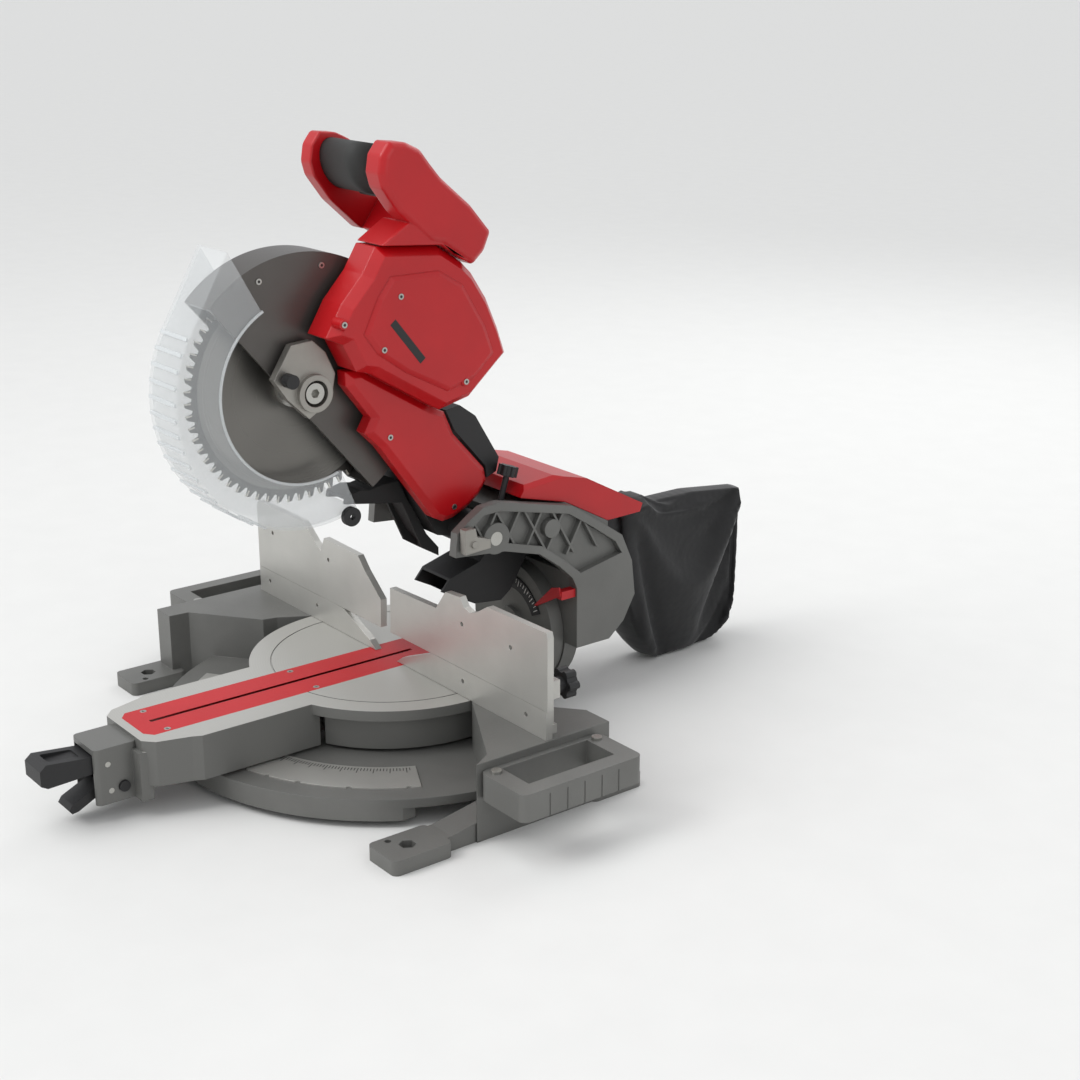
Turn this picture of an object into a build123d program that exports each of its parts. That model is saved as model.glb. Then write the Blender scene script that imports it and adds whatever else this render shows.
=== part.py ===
"""Sliding miter saw with a 254 mm blade, as an assembly of separate named pieces.

Frame: +X to the operator's right, +Y to the rear, +Z up. The origin is on the floor under the turntable's axis.
Outlines are given as (rear, up) on side planes, (right, up) on facing planes and (right, rear) on level planes,
with "up" counted from the table top.
"""
import math
import os

from build123d import *

os.makedirs("parts", exist_ok=True)

# Driving dimensions, in millimetres and degrees.
TABLE_H = 86.0
TURNTABLE_R = 164.0
TABLE_T = 12.0
SKIRT_R = 150.0
SKIRT_BOTTOM = -50.0
WEB_TOP = -54.0
FLOOR = -TABLE_H
FOOT_T = 16.0
FENCE_FRONT = -9.6
FENCE_T = 8.0
FENCE_SEAM = 32.0
RUNNING = 0.05
CLEAR = 0.4

BLADE_R = 127.0
BLADE_T = 1.8
TOOTH_T = 2.6
TEETH = 60
ARBOR = (-117.0, 333.0)
ARBOR_R = 8.0
HEAD_PIVOT = (75.0, 150.0)
MOTOR = (58.0, 378.0)
PIVOT_R = 8.0

GUARD_R = 150.0
GUARD_WALL = 2.5
GUARD_HALF = 30.0
UPPER_GUARD_R = 144.0
NOSE_R = 33.0

RAIL_X = 45.0
RAIL_Z = -32.0
RAIL_R = 12.0
DRUM_FRONT = 172.0
DRUM_BACK = 190.0
DRUM_R = 76.0
SPIGOT_R = 40.0


def side(x):
    """Plane across the saw at x: local x is the rear, local y is up from the table top."""
    return Plane(origin=(x, 0, TABLE_H), x_dir=(0, 1, 0), z_dir=(1, 0, 0))


def facing(y):
    """Plane that faces the operator at y: local x is the right, local y is up from the table top."""
    return Plane(origin=(0, y, TABLE_H), x_dir=(1, 0, 0), z_dir=(0, -1, 0))


def level(z):
    """Level plane z above the table top."""
    return Plane.XY.offset(TABLE_H + z)


def plate(plane, outline, thickness, mode=Mode.ADD):
    """Plate with a straight-sided outline, from the plane along its normal."""
    with BuildSketch(plane) as profile:
        with BuildLine():
            Polyline(*outline, close=True)
        make_face()
    extrude(profile.sketch, amount=thickness, mode=mode)


def disc(plane, centres, radius, thickness, mode=Mode.ADD):
    """Round bosses or holes at the centres, from the plane along its normal."""
    with BuildSketch(plane) as profile:
        with Locations(*centres):
            Circle(radius)
    extrude(profile.sketch, amount=thickness, mode=mode)


def ring(plane, centre, outer, inner, thickness, mode=Mode.ADD):
    """Ring about the centre, from the plane along its normal."""
    with BuildSketch(plane) as profile:
        with Locations(centre):
            Circle(outer)
            Circle(inner, mode=Mode.SUBTRACT)
    extrude(profile.sketch, amount=thickness, mode=mode)


def box(plane, centre, width, height, thickness, mode=Mode.ADD, corner=0):
    """Rectangular block about the centre, from the plane along its normal."""
    with BuildSketch(plane) as profile:
        with Locations(centre):
            if corner:
                RectangleRounded(width, height, corner)
            else:
                Rectangle(width, height)
    extrude(profile.sketch, amount=thickness, mode=mode)


def about(centre, radius, degrees):
    """Point at an angle and radius about a centre, on a side plane: 0 is the rear, 90 is up."""
    turn = math.radians(degrees)
    return (centre[0] + radius * math.cos(turn), centre[1] + radius * math.sin(turn))


# ---------------------------------------------------------------- base

RIGHT_DECK = [(164, -8), (284, -76), (298, -100), (298, 73), (260, 73), (215, 36), (164, 28)]
LEFT_DECK = [
    (-164, -8), (-186, -45), (-190, -62), (-268, -121), (-270, -146), (-302, -146), (-302, 78), (-164, 0),
]
BOX_WALL = 8.0
APRON_R = 265.0
FRONT_FEET = [(282, -173), (-282, -173)]
REAR_FEET = [(282, 104), (-282, 104)]
BOLT_HOLE_R = 5.0
PIVOT_BOLT_R = 10.0
PIVOT_HEAD_R = 14.0
PIVOT_HEAD_TOP = -17.0
PIVOT_HEAD_T = 5.0
HUB_R = 26.0
HUB_FLOOR = FLOOR + 8.0

with BuildPart() as base_casting:
    for deck in (RIGHT_DECK, LEFT_DECK):
        with BuildSketch(level(0)) as deck_face:
            with BuildLine():
                Polyline(*deck, close=True)
            make_face()
            Circle(TURNTABLE_R + 2, mode=Mode.SUBTRACT)
        extrude(deck_face.sketch, amount=FLOOR)
        with BuildSketch(level(-BOX_WALL)) as hollow:
            with BuildLine():
                Polyline(*deck, close=True)
            make_face()
            Circle(TURNTABLE_R + 2, mode=Mode.SUBTRACT)
            offset(amount=-BOX_WALL, kind=Kind.INTERSECTION)
        extrude(hollow.sketch, amount=FLOOR + BOX_WALL, mode=Mode.SUBTRACT)
    with BuildSketch(level(WEB_TOP)) as web:
        Circle(APRON_R)
        with Locations((0, -165)):
            Rectangle(2 * 262, 370, mode=Mode.INTERSECT)
        Circle(168)
        Circle(PIVOT_BOLT_R + RUNNING, mode=Mode.SUBTRACT)
    extrude(web.sketch, amount=-10)
    with BuildSketch(level(WEB_TOP - 10)) as apron_wall:
        Circle(APRON_R)
        Circle(APRON_R - 8, mode=Mode.SUBTRACT)
        with Locations((0, -190)):
            Rectangle(2 * 225, 160, mode=Mode.INTERSECT)
    extrude(apron_wall.sketch, amount=-14)
    ring(level(WEB_TOP - 10), (0, 0), HUB_R, PIVOT_BOLT_R + RUNNING, HUB_FLOOR - WEB_TOP + 10)
    disc(level(HUB_FLOOR), [(0, 0)], HUB_R, FLOOR - HUB_FLOOR)
    for x, y in FRONT_FEET:
        box(level(FLOOR), (x, -170), 50, 70, FOOT_T, corner=7)
    for x, y in REAR_FEET:
        box(level(FLOOR), (x, 84), 40, 68, FOOT_T, corner=7)
    plate(side(262), [(-70, -60), (-130, -70), (-190, -70), (-190, FLOOR), (-70, FLOOR)], 34)
    disc(level(FLOOR), FRONT_FEET + REAR_FEET, BOLT_HOLE_R, FOOT_T, mode=Mode.SUBTRACT)
    with BuildSketch(level(FLOOR + FOOT_T)) as hex_seats:
        with Locations(*FRONT_FEET):
            RegularPolygon(9, 6)
    extrude(hex_seats.sketch, amount=-8, mode=Mode.SUBTRACT)
    disc(level(FLOOR), [(265, -185), (-265, -185)], 3.5, FOOT_T, mode=Mode.SUBTRACT)
base_casting.part.label = "base_casting"
export_step(base_casting.part, "parts/base_casting.step")

HANDLE_FRONT = -96.0
HANDLE_REAR = 58.0
HANDLE_TOP = -8.0
HANDLE_DEPTH = 30.0


def carry_handle(inner_x, hand):
    """Carry handle: two arms out from the base's side and a ribbed grip. hand is +1 on the right."""
    inner = abs(inner_x)
    grip = inner + 72
    middle = (HANDLE_FRONT + HANDLE_REAR) / 2
    span = HANDLE_REAR - HANDLE_FRONT
    box(level(HANDLE_TOP), (hand * (inner + 36), middle), 72, span, -HANDLE_DEPTH, corner=9)
    box(level(HANDLE_TOP), (hand * (inner + 30), middle), 44, span - 44, -HANDLE_DEPTH, mode=Mode.SUBTRACT)
    box(level(HANDLE_TOP - 5), (hand * (inner + 61), middle), 12, span - 30, 5 - HANDLE_DEPTH,
        mode=Mode.SUBTRACT)
    for step in range(5):
        station = middle + (step - 2) * 22
        box(level(HANDLE_TOP - 6), (hand * grip, station), 1.6, 1.6, 6 - HANDLE_DEPTH, mode=Mode.SUBTRACT)
    screws = [(hand * (inner + 12), y) for y in (HANDLE_REAR - 12, HANDLE_FRONT + 12)]
    disc(level(HANDLE_TOP), screws, 3.0, -HANDLE_DEPTH, mode=Mode.SUBTRACT)


with BuildPart() as right_carry_handle:
    carry_handle(298, 1)
right_carry_handle.part.label = "right_carry_handle"
export_step(right_carry_handle.part, "parts/right_carry_handle.step")

with BuildPart() as left_carry_handle:
    carry_handle(302, -1)
left_carry_handle.part.label = "left_carry_handle"
export_step(left_carry_handle.part, "parts/left_carry_handle.step")

HANDLE_SCREWS = [(x, y) for x in (310, -314) for y in (HANDLE_REAR - 12, HANDLE_FRONT + 12)]

with BuildPart() as handle_screws:
    disc(level(HANDLE_TOP), HANDLE_SCREWS, 3.0, -HANDLE_DEPTH)
    disc(level(HANDLE_TOP), HANDLE_SCREWS, 5.5, 3)
handle_screws.part.label = "handle_screws"
export_step(handle_screws.part, "parts/handle_screws.step")

SCALE_INNER = 190.0
SCALE_OUTER = 240.0

with BuildPart() as miter_scale_plate:
    with BuildSketch(level(WEB_TOP)) as scale_face:
        with BuildLine():
            CenterArc((0, 0), SCALE_OUTER, 215, 118)
            CenterArc((0, 0), SCALE_INNER, 215, 118)
            for degrees in (215, 333):
                Line(about((0, 0), SCALE_INNER, degrees), about((0, 0), SCALE_OUTER, degrees))
        make_face()
    extrude(scale_face.sketch, amount=1.5)
    stops = (-45, -31.6, -22.5, -15, 0, 15, 22.5, 31.6, 45, 60)
    detents = [about((0, 0), SCALE_OUTER, 270 + stop) for stop in stops]
    disc(level(WEB_TOP), detents, 3, 1.5, mode=Mode.SUBTRACT)
miter_scale_plate.part.label = "miter_scale_plate"
export_step(miter_scale_plate.part, "parts/miter_scale_plate.step")

LOWER_FENCE_T = 22.0
RIGHT_LOWER = [(22, CLEAR), (34, 9), (91, FENCE_SEAM), (296, FENCE_SEAM), (296, 0), (168, 0), (168, CLEAR)]
LEFT_LOWER = [
    (-22, CLEAR), (-34, 9), (-91, FENCE_SEAM), (-286, FENCE_SEAM), (-286, 0), (-168, 0), (-168, CLEAR),
]
AUX_HOLE_Z = 18.0
AUX_HOLE_R = 2.6


def lower_fence(outline, hand):
    """Fixed fence wing: a machined front wall with a foot behind it that is bolted to the deck."""
    plate(facing(FENCE_FRONT), outline, -FENCE_T)
    box(level(0), (hand * 232, FENCE_FRONT + LOWER_FENCE_T / 2), 108, LOWER_FENCE_T, 10)
    for x in (182, 228, 282):
        box(level(9), (hand * x, FENCE_FRONT + FENCE_T + 5), 5, 12, FENCE_SEAM - 13)
    disc(level(0), [(hand * x, FENCE_FRONT + 15) for x in (205, 255)], 4.0, 12, mode=Mode.SUBTRACT)


with BuildPart() as right_lower_fence:
    lower_fence(RIGHT_LOWER, 1)
    aux_holes = [(150, AUX_HOLE_Z), (262, AUX_HOLE_Z)]
    disc(facing(FENCE_FRONT), aux_holes, AUX_HOLE_R, -FENCE_T, mode=Mode.SUBTRACT)
right_lower_fence.part.label = "right_lower_fence"
export_step(right_lower_fence.part, "parts/right_lower_fence.step")

with BuildPart() as left_lower_fence:
    lower_fence(LEFT_LOWER, -1)
    aux_holes = [(-150, AUX_HOLE_Z), (-262, AUX_HOLE_Z)]
    disc(facing(FENCE_FRONT), aux_holes, AUX_HOLE_R, -FENCE_T, mode=Mode.SUBTRACT)
left_lower_fence.part.label = "left_lower_fence"
export_step(left_lower_fence.part, "parts/left_lower_fence.step")

with BuildPart() as fence_bolts:
    spots = [(hand * x, FENCE_FRONT + 15) for hand in (-1, 1) for x in (205, 255)]
    disc(level(0), spots, 4.0, 10)
    disc(level(10), spots, 6.5, 5)
    disc(level(15), spots, 3.0, -3, mode=Mode.SUBTRACT)
fence_bolts.part.label = "fence_bolts"
export_step(fence_bolts.part, "parts/fence_bolts.step")

UPPER_GAP = 0.3
LEFT_UPPER = [
    (-9.5, FENCE_SEAM + UPPER_GAP), (-8, 66), (-40, 92), (-54, 107), (-128, 109), (-136, 91), (-150, 99),
    (-175, 118), (-283, 118), (-286, 112), (-286, FENCE_SEAM + UPPER_GAP),
]
RIGHT_UPPER = [
    (10, FENCE_SEAM + UPPER_GAP), (11.6, 86), (102, 88.5), (120, 112), (147, 114), (154, 104), (165, 101),
    (178, 106), (196, 117), (296, 118), (298, 112), (298, FENCE_SEAM + UPPER_GAP),
]


def sliding_fence(outline, hand):
    """Sliding fence: a tall wall that stands on the lower fence, with a guide foot behind its outer end."""
    plate(facing(FENCE_FRONT), outline, -FENCE_T)
    box(facing(FENCE_FRONT + FENCE_T), (hand * 272, 72), 36, 60, -4)
    box(facing(FENCE_FRONT + FENCE_T), (hand * 276, 48), 20, 20, -18)
    disc(facing(FENCE_FRONT + FENCE_T + 18), [(hand * 276, 48)], 4.0, 17.5, mode=Mode.SUBTRACT)


with BuildPart() as left_sliding_fence:
    sliding_fence(LEFT_UPPER, -1)
    disc(facing(FENCE_FRONT), [(-250, 84), (-120, 84)], AUX_HOLE_R, -FENCE_T, mode=Mode.SUBTRACT)
left_sliding_fence.part.label = "left_sliding_fence"
export_step(left_sliding_fence.part, "parts/left_sliding_fence.step")

with BuildPart() as right_sliding_fence:
    sliding_fence(RIGHT_UPPER, 1)
    disc(facing(FENCE_FRONT), [(150, 84), (236, 84)], AUX_HOLE_R, -FENCE_T, mode=Mode.SUBTRACT)
right_sliding_fence.part.label = "right_sliding_fence"
export_step(right_sliding_fence.part, "parts/right_sliding_fence.step")

FENCE_KNOB_Y = FENCE_FRONT + FENCE_T + 18


def fence_knob(x):
    """Clamp knob: a stem through the fence foot and a lobed head behind it."""
    disc(facing(FENCE_KNOB_Y + CLEAR + 1), [(x, 48)], 4.0 - RUNNING, 17)
    disc(facing(FENCE_KNOB_Y + CLEAR), [(x, 48)], 9, -8)
    with BuildSketch(facing(FENCE_KNOB_Y + CLEAR + 8)) as lobes:
        with Locations((x, 48)):
            Circle(13)
            with PolarLocations(12, 6):
                Circle(4.5)
    extrude(lobes.sketch, amount=-13)


with BuildPart() as left_fence_knob:
    fence_knob(-276)
left_fence_knob.part.label = "left_fence_knob"
export_step(left_fence_knob.part, "parts/left_fence_knob.step")

with BuildPart() as right_fence_knob:
    fence_knob(276)
right_fence_knob.part.label = "right_fence_knob"
export_step(right_fence_knob.part, "parts/right_fence_knob.step")

# ---------------------------------------------------------------- turntable

ARM_HALF = 67.0
ARM_OUTLINE = [
    (ARM_HALF, -140), (ARM_HALF, -280), (62, -290), (52, -325), (40, -336),
    (-40, -336), (-52, -325), (-62, -290), (-ARM_HALF, -280), (-ARM_HALF, -140),
]
KERF_HALF = 35.0
KERF_T = 4.0
KERF_FRONT = -326.0
KERF_REAR = 60.0
SLOT_FRONT = -306.0
SLOT_REAR = 25.0
SLOT_HALF = 2.5
NOSE_FRONT = -382.0
NOSE_HALF = 27.0
NOSE_BOTTOM = -66.0
LOCK_PIN = (-368.0, -22.0)
DETENT_PIN = (-366.0, -52.0)
KERF_OUTLINE = [
    (KERF_HALF, KERF_REAR), (KERF_HALF, KERF_FRONT + 8), (25, KERF_FRONT), (-25, KERF_FRONT),
    (-KERF_HALF, KERF_FRONT + 8), (-KERF_HALF, KERF_REAR),
]
RAIL_BORE_R = RAIL_R + 4.0
BUSHING_YS = (20.0, 120.0)
BUSHING_LENGTH = 24.0

with BuildPart() as turntable:
    with BuildSketch(level(0)) as table_face:
        Circle(TURNTABLE_R)
        with BuildLine():
            Polyline(*ARM_OUTLINE, close=True)
        make_face()
    extrude(table_face.sketch, amount=-TABLE_T)
    with BuildSketch(level(-TABLE_T)) as skirt:
        Circle(SKIRT_R)
        Circle(SKIRT_R - 8, mode=Mode.SUBTRACT)
        with Locations((0, -150)):
            Rectangle(2 * ARM_HALF, 60, mode=Mode.SUBTRACT)
    extrude(skirt.sketch, amount=SKIRT_BOTTOM + TABLE_T)
    with BuildSketch(level(-TABLE_T)) as arm_walls:
        with BuildLine():
            Polyline(*ARM_OUTLINE, close=True)
        make_face()
        offset(amount=-8, kind=Kind.INTERSECTION, mode=Mode.SUBTRACT)
        with Locations((0, -130)):
            Rectangle(2 * ARM_HALF - 16, 40, mode=Mode.SUBTRACT)
    extrude(arm_walls.sketch, amount=SKIRT_BOTTOM + TABLE_T)
    box(level(-TABLE_T), (0, -334), 2 * 44, 14, NOSE_BOTTOM + TABLE_T)
    box(level(-4), (0, (NOSE_FRONT - 334) / 2), 2 * NOSE_HALF, -334 - NOSE_FRONT, NOSE_BOTTOM + 4, corner=6)
    box(level(-10), (0, NOSE_FRONT + 14), 2 * NOSE_HALF - 12, 40, NOSE_BOTTOM - 10, mode=Mode.SUBTRACT)
    ring(level(-TABLE_T), (0, 0), 24, PIVOT_BOLT_R + RUNNING, WEB_TOP + CLEAR + TABLE_T)
    head_seat = PIVOT_HEAD_TOP - PIVOT_HEAD_T - 0.2
    disc(level(-TABLE_T), [(0, 0)], PIVOT_HEAD_R + RUNNING, head_seat + TABLE_T, mode=Mode.SUBTRACT)
    for y in BUSHING_YS:
        disc(facing(y), [(-RAIL_X, RAIL_Z), (RAIL_X, RAIL_Z)], RAIL_BORE_R + 3.5, -BUSHING_LENGTH)
        box(facing(y), (RAIL_X, -16), 14, 12, -BUSHING_LENGTH)
        box(facing(y), (-RAIL_X, -16), 14, 12, -BUSHING_LENGTH)
    disc(facing(-160), [(-RAIL_X, RAIL_Z), (RAIL_X, RAIL_Z)], RAIL_BORE_R, -360, mode=Mode.SUBTRACT)
    plate(level(0), KERF_OUTLINE, -KERF_T, mode=Mode.SUBTRACT)
    box(level(-KERF_T), (0, (SLOT_FRONT + SLOT_REAR) / 2), 34, SLOT_REAR - SLOT_FRONT + 10, -TABLE_T,
        mode=Mode.SUBTRACT)
    ring(level(0), (0, 0), 140, 138.5, -1, mode=Mode.SUBTRACT)
    disc(side(-NOSE_HALF), [LOCK_PIN, DETENT_PIN], 3.0 + RUNNING, 2 * NOSE_HALF, mode=Mode.SUBTRACT)
    disc(side(NOSE_HALF - 8), [(-352, -50)], 6.0 + RUNNING, 10, mode=Mode.SUBTRACT)
    disc(side(SKIRT_R - 16), [(20, -38)], 4.0 + RUNNING, 20, mode=Mode.SUBTRACT)
turntable.part.label = "turntable"
export_step(turntable.part, "parts/turntable.step")

KERF_SCREWS = [(x, y) for x in (-28.0, 28.0) for y in (-300.0, -120.0, 40.0)]

with BuildPart() as kerf_plate:
    plate(level(0), KERF_OUTLINE, -KERF_T)
    tilt_relief = KERF_T * math.tan(math.radians(50))
    with BuildSketch(facing(SLOT_FRONT)) as slot:
        with BuildLine():
            Polyline(
                (-SLOT_HALF, 0), (SLOT_HALF, 0), (SLOT_HALF + tilt_relief, -KERF_T),
                (-SLOT_HALF - tilt_relief, -KERF_T), close=True,
            )
        make_face()
    extrude(slot.sketch, amount=-(SLOT_REAR - SLOT_FRONT), mode=Mode.SUBTRACT)
    disc(level(0), KERF_SCREWS, 3.6, -2, mode=Mode.SUBTRACT)
kerf_plate.part.label = "kerf_plate"
export_step(kerf_plate.part, "parts/kerf_plate.step")

with BuildPart() as kerf_plate_screws:
    disc(level(0), KERF_SCREWS, 3.6, -2)
    disc(level(0), KERF_SCREWS, 1.5, -1.2, mode=Mode.SUBTRACT)
kerf_plate_screws.part.label = "kerf_plate_screws"
export_step(kerf_plate_screws.part, "parts/kerf_plate_screws.step")

with BuildPart() as miter_pivot_bolt:
    disc(level(PIVOT_HEAD_TOP), [(0, 0)], PIVOT_HEAD_R, -PIVOT_HEAD_T)
    disc(level(PIVOT_HEAD_TOP), [(0, 0)], PIVOT_BOLT_R, HUB_FLOOR + 0.2 - PIVOT_HEAD_TOP)
miter_pivot_bolt.part.label = "miter_pivot_bolt"
export_step(miter_pivot_bolt.part, "parts/miter_pivot_bolt.step")

with BuildPart() as rail_bushings:
    for y in BUSHING_YS:
        for x in (-RAIL_X, RAIL_X):
            ring(facing(y), (x, RAIL_Z), RAIL_BORE_R, RAIL_R + RUNNING, -BUSHING_LENGTH)
rail_bushings.part.label = "rail_bushings"
export_step(rail_bushings.part, "parts/rail_bushings.step")

with BuildPart() as lever_pins:
    disc(side(-NOSE_HALF), [LOCK_PIN, DETENT_PIN], 3.0, 2 * NOSE_HALF)
lever_pins.part.label = "lever_pins"
export_step(lever_pins.part, "parts/lever_pins.step")

LEVER_HALF = 19.0
LOCK_LEVER = [
    (-362, -14), (-384, -13), (-430, -8), (-437, -14), (-437, -30), (-430, -34), (-384, -32), (-362, -30),
]

with BuildPart() as miter_lock_lever:
    plate(side(-LEVER_HALF), LOCK_LEVER, 2 * LEVER_HALF)
    box(level(-2), (0, -408), 22, 34, -12, mode=Mode.SUBTRACT, corner=3)
    disc(side(-LEVER_HALF), [LOCK_PIN], 3.0 + RUNNING, 2 * LEVER_HALF, mode=Mode.SUBTRACT)
miter_lock_lever.part.label = "miter_lock_lever"
export_step(miter_lock_lever.part, "parts/miter_lock_lever.step")

DETENT_LEVER = [
    (-361, -47), (-372, -47), (-404, -62), (-408, -68), (-405, -72), (-398, -71), (-372, -58), (-361, -57),
]

with BuildPart() as detent_lever:
    plate(side(-14), DETENT_LEVER, 28)
    disc(side(-14), [DETENT_PIN], 3.0 + RUNNING, 28, mode=Mode.SUBTRACT)
detent_lever.part.label = "detent_lever"
export_step(detent_lever.part, "parts/detent_lever.step")

with BuildPart() as detent_button:
    disc(side(NOSE_HALF - 4), [(-352, -50)], 6.0, 7)
detent_button.part.label = "detent_button"
export_step(detent_button.part, "parts/detent_button.step")

# ---------------------------------------------------------------- slide carriage

with BuildPart() as trunnion:
    disc(facing(DRUM_FRONT), [(0, 0)], DRUM_R, DRUM_FRONT - DRUM_BACK)
    disc(facing(DRUM_FRONT), [(0, 0)], 20, 6)
    disc(facing(DRUM_BACK), [(0, 0)], SPIGOT_R, -62)
    rail_seats = [(-RAIL_X, RAIL_Z), (RAIL_X, RAIL_Z)]
    disc(facing(DRUM_FRONT), rail_seats, RAIL_R + RUNNING / 5, -12, mode=Mode.SUBTRACT)
trunnion.part.label = "trunnion"
export_step(trunnion.part, "parts/trunnion.step")

RAIL_FRONT = -150.0

with BuildPart() as slide_rails:
    disc(facing(RAIL_FRONT), [(-RAIL_X, RAIL_Z), (RAIL_X, RAIL_Z)], RAIL_R, RAIL_FRONT - DRUM_FRONT - 12)
slide_rails.part.label = "slide_rails"
export_step(slide_rails.part, "parts/slide_rails.step")

with BuildPart() as bevel_scale:
    with BuildSketch(facing(DRUM_FRONT)) as scale_arc:
        with BuildLine():
            CenterArc((0, 0), 60, 25, 130)
            CenterArc((0, 0), 44, 25, 130)
            for degrees in (25, 155):
                Line(about((0, 0), 44, degrees), about((0, 0), 60, degrees))
        make_face()
    extrude(scale_arc.sketch, amount=1.5)
bevel_scale.part.label = "bevel_scale"
export_step(bevel_scale.part, "parts/bevel_scale.step")

with BuildPart() as slide_lock_knob:
    disc(side(SKIRT_R - 2), [(20, -38)], 4, 15)
    with BuildSketch(side(SKIRT_R + 4)) as knob_lobes:
        with Locations((20, -38)):
            Circle(7)
            with PolarLocations(7, 5):
                Circle(2.4)
    extrude(knob_lobes.sketch, amount=8)
slide_lock_knob.part.label = "slide_lock_knob"
export_step(slide_lock_knob.part, "parts/slide_lock_knob.step")

# ---------------------------------------------------------------- bevel arm

ARM_RIGHT = 100.0
ARM_LEFT = -75.0
ARM_PLATE_T = 12.0
ARM_PROFILE = [
    (19, 139), (22, 166), (42, 180), (57, 189), (80, 191), (182, 168), (221, 143), (258, 118), (274, 83),
    (279, 40), (262, 10), (240, -8), (DRUM_BACK + CLEAR, -8), (DRUM_BACK + CLEAR, 66), (184, 80), (165, 98),
    (136, 119), (86, 133),
]
ARM_WINDOW = [
    (31, 146), (33, 162), (58, 180), (80, 181), (178, 159), (214, 136), (248, 112), (258, 96), (196, 84),
    (170, 106), (139, 128), (86, 143),
]
BLOCK_Y = DRUM_BACK + CLEAR
DEPTH_PLANE = Plane(origin=(64, 103, TABLE_H + 165), x_dir=(1, 0, 0), z_dir=(0, 0.3, 0.954))
BACK_Y = 262.0
PIPE_X = 22.0
PIPE_Z = 103.0
PIPE_R = 25.0

with BuildPart() as arm_casting:
    plate(side(ARM_RIGHT - ARM_PLATE_T), ARM_PROFILE, ARM_PLATE_T)
    plate(side(ARM_LEFT), ARM_PROFILE, ARM_PLATE_T)
    plate(side(ARM_RIGHT - ARM_PLATE_T + 3), ARM_WINDOW, ARM_PLATE_T - 3, mode=Mode.SUBTRACT)
    plate(side(ARM_LEFT), ARM_WINDOW, ARM_PLATE_T - 3, mode=Mode.SUBTRACT)
    box(facing(BLOCK_Y), ((ARM_RIGHT + ARM_LEFT) / 2, 36), ARM_RIGHT - ARM_LEFT - 4, 88, BLOCK_Y - BACK_Y + 20)
    disc(facing(BLOCK_Y), [(0, 0)], DRUM_R + 2, -20)
    disc(facing(BLOCK_Y), [(0, 0)], SPIGOT_R + 12, -50)
    disc(facing(BLOCK_Y), [(0, 0)], SPIGOT_R + RUNNING, -60, mode=Mode.SUBTRACT)
    roof = [
        (98, 162), (98, 172), (134, 174), (182, 169), (246, 134.6), (246, 80), (236, 80), (236, 122),
        (178, 156),
        (134, 160),
    ]
    plate(side(ARM_LEFT + ARM_PLATE_T), roof, ARM_RIGHT - ARM_LEFT - 2 * ARM_PLATE_T)
    disc(side(ARM_RIGHT - ARM_PLATE_T), [HEAD_PIVOT], 18, ARM_PLATE_T)
    disc(side(ARM_LEFT), [HEAD_PIVOT], 18, ARM_PLATE_T)
    disc(side(ARM_RIGHT - ARM_PLATE_T), [(154, 146)], 11, ARM_PLATE_T)
    for start in (35, 70, 105, 140, 175):
        lean = 46
        for slope in (-1, 1):
            rib = [(start, 150 + slope * 40), (start + 3, 150 + slope * 40), (start + 3 + lean, 150 - slope * 40),
                   (start + lean, 150 - slope * 40)]
            with BuildSketch(side(ARM_RIGHT - ARM_PLATE_T + 3)) as rib_face:
                with BuildLine():
                    Polyline(*rib, close=True)
                make_face()
                with BuildLine():
                    Polyline(*ARM_WINDOW, close=True)
                make_face(mode=Mode.INTERSECT)
            extrude(rib_face.sketch, amount=ARM_PLATE_T - 5)
    disc(side(ARM_LEFT - 1), [HEAD_PIVOT], PIVOT_R, ARM_RIGHT - ARM_LEFT + 2, mode=Mode.SUBTRACT)
    disc(side(ARM_RIGHT - 20), [(36, 154)], 4 + RUNNING, 30, mode=Mode.SUBTRACT)
    disc(facing(200), [(PIPE_X, PIPE_Z)], PIPE_R + CLEAR, -80, mode=Mode.SUBTRACT)
    disc(DEPTH_PLANE, [(0, 0)], 3.5 + RUNNING, 30, mode=Mode.SUBTRACT)
arm_casting.part.label = "arm_casting"
export_step(arm_casting.part, "parts/arm_casting.step")

with BuildPart() as arm_top_cover:
    with BuildSketch(side(ARM_LEFT + ARM_PLATE_T + CLEAR)) as cover_side:
        with BuildLine():
            Polyline((118, 186), (126, 199), (168, 203), (214, 192), (300, 146), (296, 136), (246, 135), (182, 169.5),
                     close=True)
        make_face()
    extrude(cover_side.sketch, amount=ARM_RIGHT - ARM_LEFT - 2 * ARM_PLATE_T - 2 * CLEAR)
    chamfer(arm_top_cover.faces().sort_by(Axis.X)[-1].edges().group_by(Axis.Z)[-1], length=5)
arm_top_cover.part.label = "arm_top_cover"
export_step(arm_top_cover.part, "parts/arm_top_cover.step")

with BuildPart() as bevel_pointer:
    pointer = [(ARM_RIGHT - 4, 60), (ARM_RIGHT - 6, 70), (80, 66), (50, 38), (47, 35), (51, 35)]
    plate(facing(DRUM_FRONT - 2), pointer, 1.6)
    box(facing(DRUM_FRONT - 2), (ARM_RIGHT - 8, 60), 10, 10, -(BLOCK_Y - DRUM_FRONT + 2))
bevel_pointer.part.label = "bevel_pointer"
export_step(bevel_pointer.part, "parts/bevel_pointer.step")

PIPE_FRONT = 228.0
PIPE_REAR = 352.0

with BuildPart() as dust_pipe:
    ring(facing(PIPE_FRONT), (PIPE_X, PIPE_Z), PIPE_R, PIPE_R - 2, PIPE_FRONT - PIPE_REAR)
dust_pipe.part.label = "dust_pipe"
export_step(dust_pipe.part, "parts/dust_pipe.step")

CHUTE_HALF = 28.0
CHUTE = [
    (50, 72), (96, 48), (134, 44), (148, 54), (172, 92), (227, 92), (227, 112), (176, 138), (142, 138),
    (104, 98), (62, 86),
]

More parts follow.
